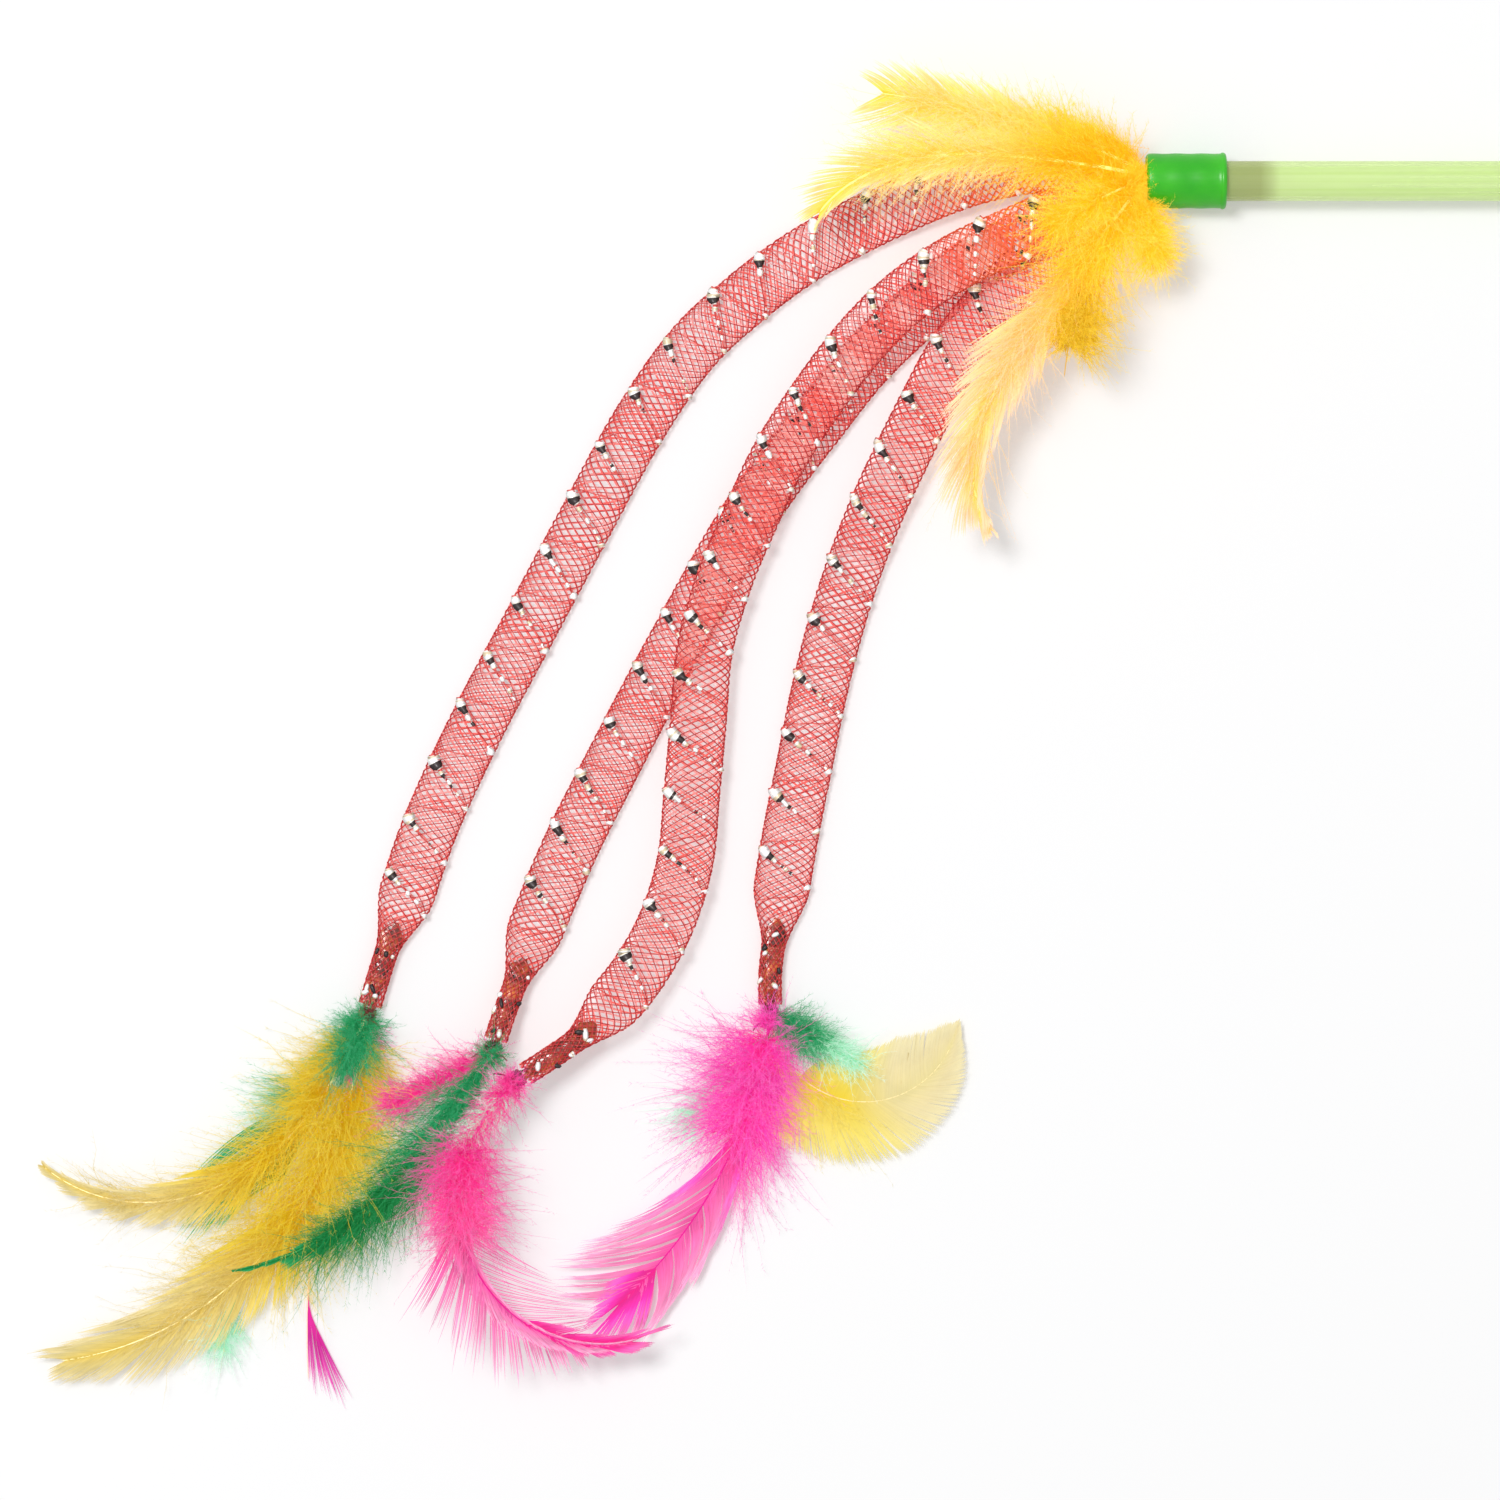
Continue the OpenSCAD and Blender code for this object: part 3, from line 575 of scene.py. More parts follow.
def make_foil(n, route, mats):
    """The foil strip that winds round the tube: slow across the top, fast underneath, and wide where it turns
    over the left edge. Each flake is a swell of the strip at its share of a turn, with a half length, a size
    and a chance, and a row of V for its tone, which is its bright face or its fold painted dark as shade.
    Between flakes the strip is narrow and sinks into the net, and most of its run underneath is hidden."""
    rng = np.random.default_rng(70 + n)
    pitch, top_run, top, narrow, hidden = 8.9, 6.5, 0.6, 0.24, 0.16
    first = 3 + 1.7 * n
    turns = int((route.length - 12 - first) / pitch)
    share = np.linspace(0, 1, 97)
    front = share <= top
    around = np.where(front, 0.5 - share / top * 0.5, -(share - top) / (1 - top) * 0.5)
    ahead = np.where(front, share / top * top_run, top_run + (share - top) / (1 - top) * (pitch - top_run))
    start = first + pitch * np.arange(turns) + rng.uniform(-0.35, 0.35, turns)
    s = start[:, None] + ahead[None]
    wide, row = np.full(s.shape, narrow), np.full(s.shape, BACK)
    # Each flake's tone is its bright face or its fold painted dark as shade
    for place, half, size, chance, tone in (
        (0.105, 0.05, 1.75, 1, FACE), (0.162, 0.026, 0.95, 0.95, SHADED_FOLD), (0.212, 0.024, 0.85, 1, FACE),
        (0.258, 0.014, 0.55, 0.5, SHADED_FOLD), (0.3, 0.02, 0.7, 0.75, 0.38), (0.35, 0.01, 0.45, 0.35, SHADED_FOLD),
        (0.4, 0.018, 0.6, 0.5, FACE), (0.48, 0.014, 0.5, 0.4, 0.38), (0.53, 0.026, 1.15, 0.85, FACE),
    ):
        middle = place + rng.uniform(-0.018, 0.018, (turns, 1))
        half = half * rng.uniform(0.75, 1.2, (turns, 1))
        off = np.abs(share[None] - middle) / half
        there = (rng.uniform(0, 1, (turns, 1)) < chance) & (off < 1.25)
        swell = size * rng.uniform(0.8, 1.15, (turns, 1)) * np.sqrt(np.clip(1 - (off / 1.3) ** 4, 0, 1))
        wide = np.where(there, np.maximum(wide, swell), wide)
        row = np.where(there & (off < 1.05), tone, row)
    wide = np.where(share[None] > 0.62, hidden, wide)
    edge = np.cos(girth_angle(around)) ** 4
    out = -0.16 + (0.3 - 0.15 * edge[None]) * np.clip(wide / 0.7, 0, 1.2) + 0.05 * np.sin(share * 88)[None]
    around = around[None] + 0.005 * np.sin(share * 61)[None] + rng.uniform(-0.004, 0.004, s.shape)
    wide[:, 0] = wide[:, -1] = narrow
    mesh = Mesh()
    tubes(mesh, route.on_tube(s, around, out), wide, 0.06, s / route.length, row, sides=4, up=(0.03, 0.02, 1),
          pointed=False)
    mesh.hand_over(f"foil_{n}", mats["foil"], f"streamer_{n}", "foil_silver")


def make_neck(n, route, mats):
    """Glue that fills the gathered net above a knot: a lumpy closed skin, with chips of foil caught in it."""
    rng = np.random.default_rng(90 + n)
    mesh = Mesh()
    rings, stop = 60, route.length + 0.1
    s = np.linspace(route.length - NECK_LEN - 5, stop, rings)
    end = ease((stop - s) / 5) * 0.42 + 0.58
    broad = (ease((s - s[0]) / 2.2) * 0.7 + 0.15) * end
    deep = (ease((s - s[0]) / 6) * 0.8 + 0.08) * end
    path = route.at(route.place, s) + route.flat * (0.5 * ease((s - route.length + 2) / 2))[:, None]
    lumps = 1 + 0.13 * np.sin(s * 1.9 + n) + 0.07 * np.sin(s * 4.3 + 2 * n)
    wide = 2 * route.half(s, NET_W, NECK_W) * broad * lumps
    thick = 2 * route.half(s, NET_T, NECK_T) * deep / lumps
    tubes(mesh, path, wide, thick, np.linspace(0, 1, rings), 0, sides=20, pointed=False)
    mesh.hand_over(f"neck_glue_{n}", mats["neck"], f"streamer_{n}", "glue")

    chips = Mesh()
    count = 7
    at = rng.uniform(route.length - NECK_LEN - 3, route.length - 0.6, count)
    around = rng.uniform(0.06, 0.44, count)
    long, wide = rng.uniform(0.5, 1.4, count), rng.uniform(0.45, 0.8, count)
    steps = np.linspace(-0.5, 0.5, 4)
    s = at[:, None] + steps * long[:, None]
    lean = around[:, None] + steps * rng.uniform(-0.12, 0.12, (count, 1))
    path = route.on_tube(s, lean, 0.1 + 0.06 * np.cos(steps * 5)[None])
    # Chips show the bright face, or the fold painted dark as shade
    tubes(chips, path, wide[:, None] * np.array([0.7, 1, 1, 0.6]), 0.06, s / route.length,
          rng.choice([SHADED_FOLD, FACE, FACE], count), sides=4, pointed=False)
    chips.hand_over(f"neck_foil_{n}", mats["foil"], f"streamer_{n}", "foil_silver")


def make_tie(n, route, mats):
    """Thread knot: two crossing layers of turns, a locking turn over them, two loose ends and a glue core."""
    rng = np.random.default_rng(120 + n)
    mesh = Mesh()
    ahead = route.flat
    side = np.array([-ahead[1], ahead[0], 0])
    up = np.array([0, 0, 1])

    def at(along, across, height):
        """Places at distances from the knot's middle along the streamer, across it and up."""
        along, across, height = (np.asarray(x)[..., None] for x in (along, across, height))
        return route.tie + ahead * along + side * across + up * height

    for start, end, radius, turns, tilt, phase, size in (
        (-1.35, 1.25, 0.98, 8, 0, 0.3, 0.36),
        (1.2, -1.2, 1.14, 5, 0.22, 1.9, 0.32),
        (-0.25, 0.25, 1.22, 2, 0.5, 0.8, 0.3),
    ):
        t = np.linspace(0, 1, turns * 16)
        a = 2 * np.pi * turns * t + phase
        r = radius * (1 + 0.04 * np.sin(3 * a + phase))
        line = at(start + (end - start) * t + tilt * np.cos(a), r * np.cos(a) * 1.12, r * np.sin(a) * 0.92)
        middle = route.tie + ahead * ((line - route.tie) @ ahead)[:, None]
        tubes(mesh, line, size, size, t, 0.1, sides=6, up=unit(line - middle), pointed=False)
    for sign in (-1, 1):
        t = np.linspace(0, 1, 14)
        bend = rng.uniform(-0.9, 0.9)
        tail = at(0.3 + bend * t + 1.2 * t * t, sign * (0.7 + 1.9 * t), 0.9 - 0.5 * t)
        tubes(mesh, tail, 0.24, 0.24, t, 0.4, sides=6, pointed=False)
    mesh.hand_over(f"thread_{n}", mats["thread"], f"tassel_{n}", "knot_thread", f"tie_{n}")

    core = Mesh()
    t = np.linspace(-1, 1, 15)
    r = 0.95 * np.sqrt(np.clip(1 - 0.9 * t**2, 0.02, 1))
    tubes(core, at(1.5 * t, 0 * t, 0 * t), 2.2 * r, 1.8 * r, (t + 1) / 2, 0, sides=16, pointed=False)
    core.hand_over(f"knot_glue_{n}", mats["neck"], f"tassel_{n}", "glue")


def make_all_streamers(mats):
    """Nets, foils, glued necks and thread knots of the four streamers. Returns the middles of the knots."""
    routes = {n: Route(n) for n in ROUTES}
    for n, route in routes.items():
        make_net(n, route, mats, {2: routes[3], 3: routes[2]}.get(n))
        make_foil(n, route, mats)
        make_neck(n, route, mats)
        make_tie(n, route, mats)
    return {n: route.tie for n, route in routes.items()}


# ---- feathers
def headed(degrees):
    """Unit directions in plan at angles in degrees."""
    a = np.radians(degrees)
    return np.stack([np.cos(a), np.sin(a)], -1)


class Spine:
    """A feather's quill line. Its heading is heading + bend * share ** power, as in the part's source, and
    height gives z at each share."""

    def __init__(self, start, heading, bend, power, length, height):
        count = 240
        self.share = np.linspace(0, 1, count + 1)
        middle = (self.share[1:] + self.share[:-1]) / 2
        steps = headed(heading + bend * middle**power) * length / count
        plan = np.concatenate([[[0, 0]], np.cumsum(steps, 0)]) + start
        self.way = heading + bend * self.share**power
        self.place = np.concatenate([plan, height(self.share, plan)[:, None]], 1)
        self.length = length

    def at(self, share):
        """Places at shares of the length."""
        return row_at(self.place, self.share, share)

    def heading(self, share):
        """Headings in degrees at shares of the length."""
        return np.interp(share, self.share, self.way)


def add_quill(mesh, spine, thick, tip):
    """The quill, eight-sided and tapered, on the material's quill row."""
    share = np.linspace(0, 1, 70)
    size = thick + (tip - thick) * share**0.8
    tubes(mesh, spine.at(share), size, size * 0.8, share, QUILL_ROW, sides=8)


def row_of(share, shift):
    """V along the feather at shares of its length, moved by shift and kept off the quill's row."""
    return np.clip(0.94 * share + shift, 0.005, LAST_ROW)


def add_hairs(mesh, rng, path, row, each, size, thin, near=0.08, lift=0.5):
    """Fine hairs on strands path (n, k, 3), each of them per strand, from share near outward. They lean off
    their strand to all sides, less at its end, and lift is how far they stand up or down."""
    n, k = path.shape[:2]
    steps = k - 1
    place = rng.uniform(near, 0.98, (n, each))
    whole = np.minimum((place * steps).astype(int), steps - 1)
    part = (place * steps - whole)[..., None]
    strand = np.arange(n)[:, None]
    here, after = path[strand, whole], path[strand, whole + 1]
    root = here * (1 - part) + after * part
    ahead = unit(after - here)
    side = unit(np.cross(ahead, np.array([0.03, 0.05, 1])))
    lean = rng.uniform(0.45, 1.25, place.shape) * (1.1 - 0.5 * place)
    flip = rng.choice([-1, 1], place.shape)
    way = ahead * np.cos(lean)[..., None] + side * (flip * np.sin(lean))[..., None]
    way[..., 2] += rng.uniform(-lift, lift, place.shape)
    tip = root + unit(way) * (size * rng.uniform(0.5, 1.3, place.shape) * (1.1 - 0.5 * place))[..., None]
    tip[..., 2] = np.maximum(tip[..., 2], LOWEST)
    spikes(mesh, root.reshape(-1, 3), tip.reshape(-1, 3), thin, np.clip(place + 0.05, 0, 0.97).ravel(),
           np.repeat(np.clip(row, 0.005, LAST_ROW), each))


def add_vane(mesh, spine, rng, first, last, left, right, angle=(40, 24), sweep=-12, per_mm=2.8, locks=7,
             open_by=4, merge=0.5, wide=0.28, ragged=0.05, end=0.2, shift=0, gap=0, hairs=4):
    """Barbs on both sides of the quill from share first to last. left and right are [(share, length in mm)];
    angle lists their slant off the quill from first to last, and sweep turns them along their length. They
    are grouped in locks, whose tips draw together by merge and fan apart by open_by degrees. end is how much
    of its width a barb keeps at its tip, shift moves its colours along V, and gap is the share of each lock
    that is left out at its outer end."""
    steps, camber = 6, 0.25
    t = np.linspace(0, 1, steps + 1)
    for sign, lengths in ((1, left), (-1, right)):
        if not lengths:
            continue
        n = int((last - first) * spine.length * per_mm)
        s = np.linspace(first, last, n) + rng.uniform(-0.3, 0.3, n) / (spine.length * per_mm)
        s = np.clip(s, 0, 0.998)
        reach = np.interp(s, *np.array(lengths, float).T) * (1 + rng.normal(0, ragged, n))
        edges = np.linspace(0, 1, locks + 1)
        edges[1:-1] += rng.uniform(-0.35, 0.35, locks - 1) / locks
        part = (s - first) / (last - first)
        lock = np.clip(np.searchsorted(edges, part, side="right") - 1, 0, locks - 1)
        if gap:
            inside = (part - edges[lock]) / (edges[lock + 1] - edges[lock])
            kept = inside < 1 - gap * rng.uniform(0.6, 1.4, locks)[lock]
            s, reach, part, lock = s[kept], reach[kept], part[kept], lock[kept]
            n = len(s)
        fan = rng.normal(0, open_by, locks)[lock]
        lift = rng.uniform(-0.25, 0.35, locks)[lock]
        centre = (edges[lock] + edges[lock + 1]) / 2 * (last - first) + first
        slant = np.interp(part, np.linspace(0, 1, len(angle)), angle) + rng.normal(0, 0.8, n)
        way = spine.heading(s)[:, None] + sign * (slant[:, None] + sweep * t + fan[:, None] * t**1.5)
        step = headed((way[:, :-1] + way[:, 1:]) / 2) * (reach / steps)[:, None, None]
        path = np.repeat(spine.at(s)[:, None], steps + 1, 1)
        path[:, 1:, :2] += np.cumsum(step, 1)
        path[..., :2] += (spine.at(centre) - spine.at(s))[:, None, :2] * (merge * t**1.6)[None, :, None]
        path[..., 2] += (camber + lift)[:, None] * t**1.5 + rng.uniform(-0.05, 0.05, n)[:, None]
        path[..., 2] = np.maximum(path[..., 2], LOWEST)
        size = wide * np.interp(t, [0, 0.7, 1], [1, 0.8, end]) * rng.uniform(0.85, 1.15, n)[:, None]
        row = row_of(s, shift)
        tubes(mesh, path, size, 0.05, t, row, smooth=False)
        add_hairs(mesh, rng, path, row, hairs, 0.5, 0.045, 0.4, 0.15)


def add_down(mesh, spine, rng, first, last, count, length, slant=(25, 100), roll=(-8, 188), curl=0.3,
             flat=0.6, lean=0, hairs=12, wide=0.09, thin=0.05, shift=0):
    """Downy barbs from share first to last of the quill. slant is their range of angles off it and roll their
    range round it, both in degrees, where roll 0 is its left, 90 straight up and 180 its right. curl bends
    them at random, sweep towards the feather's tip and droop down; flat scales their heights, and lean over 0
    makes the left ones longer."""
    steps, sweep, droop = 4, 0.25, 0.2
    s = first + (last - first) * rng.uniform(0, 1, count)
    t = np.linspace(0, 1, steps + 1)
    along = t[:, None]
    way = headed(spine.heading(s))
    ahead = np.concatenate([way, np.zeros((count, 1))], 1)
    side = np.stack([-way[:, 1], way[:, 0], np.zeros(count)], 1)
    up = np.array([0, 0, 1])
    off = np.radians(rng.uniform(*slant, count))[:, None]
    round_it = np.radians(rng.uniform(*roll, count))[:, None]
    out = ahead * np.cos(off) + (side * np.cos(round_it) + up * np.sin(round_it)) * np.sin(off)
    bend = rng.normal(0, curl, (count, 3)) + ahead * sweep - up * droop
    wave = rng.normal(0, curl * 0.35, (count, 3))
    reach = (rng.uniform(*length, count)[:, None] * (1 + lean * np.cos(round_it)))[:, None]
    rise = out[:, None] * along + bend[:, None] * along**2 + wave[:, None] * np.sin(5 * along)
    rise[..., 2] *= flat
    path = spine.at(s)[:, None] + rise * reach * 0.92
    path[..., 2] = np.maximum(path[..., 2], LOWEST)
    size = wide * (1 - 0.55 * t) * rng.uniform(0.7, 1.2, count)[:, None]
    row = row_of(s, shift + rng.uniform(-0.02, 0.02, count))
    tubes(mesh, path, size, 0.6 * size, t, row, smooth=False)
    add_hairs(mesh, rng, path, row, hairs, 1.2, thin)


def tassel_spine(tie, layer, layers, heading, bend, power, length):
    """A tassel feather's spine, from just inside its knot, level at its own layer of so many."""
    inside = 1.2
    start = tie[:2] + (TIE_R + SEAT_GAP) * headed(heading) - inside * headed(heading)
    z = tie[2] + (layer - (layers - 1) / 2) * LAYER
    return Spine(start, heading, bend, power, length + inside, lambda s, plan: z + 0 * s)


def ruff_spine(slot, layer, heading, bend, power, length):
    """A ruff feather's spine: from its place in the mouth up to its layer, and over the common arch."""
    a = math.radians(90 - slot * 18)
    lane = 2.5 * math.cos(a), 2.5 * math.sin(a)
    top = 2.95 + layer * LAYER

    def height(s, plan):
        from_mouth = np.hypot(plan[:, 0] - MOUTH_X, plan[:, 1])
        arch = 1.2 * np.sin(np.pi * np.clip((from_mouth - 3) / 56, 0, 1))
        return lane[1] + (top - lane[1]) * ease(s * length / 7) + arch

    return Spine(np.array([MOUTH_X - 0.75, lane[0]]), heading, bend, power, length, height)


# Feather colours at a barb's root, middle and tip
EMBER = ((1, 0.44, 0), (1, 0.57, 0.003), (1, 0.75, 0.06))
GOLD = ((1, 0.5, 0), (1, 0.65, 0.012), (1, 0.8, 0.13))
AMBER = ((0.58, 0.33, 0), (0.76, 0.48, 0.005), (0.95, 0.7, 0.06))
PALE = ((1, 0.6, 0.03), (1, 0.74, 0.17), (1, 0.83, 0.46))
PEACH = ((1, 0.6, 0.07), (1, 0.67, 0.28), (1, 0.73, 0.5))
BUTTER = ((0.67, 0.5, 0.03), (0.69, 0.57, 0.11), (0.7, 0.61, 0.19))
LEMON = ((0.68, 0.35, 0), (0.71, 0.49, 0.005), (0.8, 0.65, 0.09))
STRAW = ((0.64, 0.46, 0.08), (0.69, 0.56, 0.21), (0.76, 0.65, 0.36))
CREAM = ((0.63, 0.54, 0.25), (0.65, 0.56, 0.31), (0.68, 0.61, 0.37))
GREEN = ((0.004, 0.2, 0.05), (0.008, 0.32, 0.1), (0.06, 0.5, 0.22))
DARK = ((0.002, 0.13, 0.022), (0.004, 0.22, 0.045), (0.03, 0.38, 0.12))
MINT = ((0.25, 0.75, 0.45), (0.5, 0.88, 0.65), (0.8, 0.97, 0.86))
PINK = ((1, 0.012, 0.26), (1, 0.032, 0.35), (1, 0.2, 0.56))
LIGHT_PINK = ((0.9, 0.016, 0.26), (1, 0.042, 0.5), (1, 0.22, 0.66))
PINK_VANE = ((0.9, 0.09, 0.38), (0.97, 0.25, 0.52), (1, 0.49, 0.72))
MAGENTA = ((0.75, 0.02, 0.3), (0.6, 0.02, 0.3), (0.8, 0.14, 0.5))

# Each look's colours of down and vane, V where they change, streaks, quill colour and slot
LOOKS = {
    "lemon_straw": (LEMON, STRAW, 0.5, 0.2, (0.97, 0.86, 0.45), "yellow"),
    "green_mint": (GREEN, MINT, 0.7, 0.25, (0.15, 0.5, 0.25), "green"),
    "dark_green": (GREEN, DARK, 0.3, 0.25, (0.03, 0.3, 0.08), "green"),
    "pink": (PINK, PINK_VANE, 0.4, 0.34, (0.6, 0.01, 0.22), "pink"),
    "magenta": (PINK, MAGENTA, 0.5, 0.2, (0.95, 0.6, 0.45), "pink"),
    "mint": (MINT, MINT, 0.5, 0.2, (0.7, 0.85, 0.7), "green"),
    "light_pink": (LIGHT_PINK, PINK_VANE, 0.4, 0.3, (0.62, 0.01, 0.24), "pink"),
    "peach": (EMBER, PEACH, 0.3, 0.2, (1, 0.8, 0.25), "yellow"),
    "cream": (BUTTER, CREAM, 0.5, 0.08, (0.82, 0.68, 0.36), "yellow"),
    "gold": (EMBER, GOLD, 0.25, 0.2, (1, 0.8, 0.2), "yellow"),
    "amber": (GOLD, AMBER, 0.45, 0.2, (0.6, 0.35, 0.05), "yellow"),
    "pale": (EMBER, PALE, 0.3, 0.2, (1, 0.85, 0.25), "yellow"),
}


def down(*values, **more):
    """An entry of the feather list: first, last, count, lengths, slant, roll and more for add_down."""
    return add_down, values, more


def vane(*values, **more):
    """An entry of the feather list: first, last, left, right, angle and more for add_vane."""
    return add_vane, values, more


def over_knot(count, length):
    """An entry of the feather list: down swept back over the knot."""
    return down(0, 0.03, count, length, slant=(95, 165), roll=(10, 170), flat=0.9)


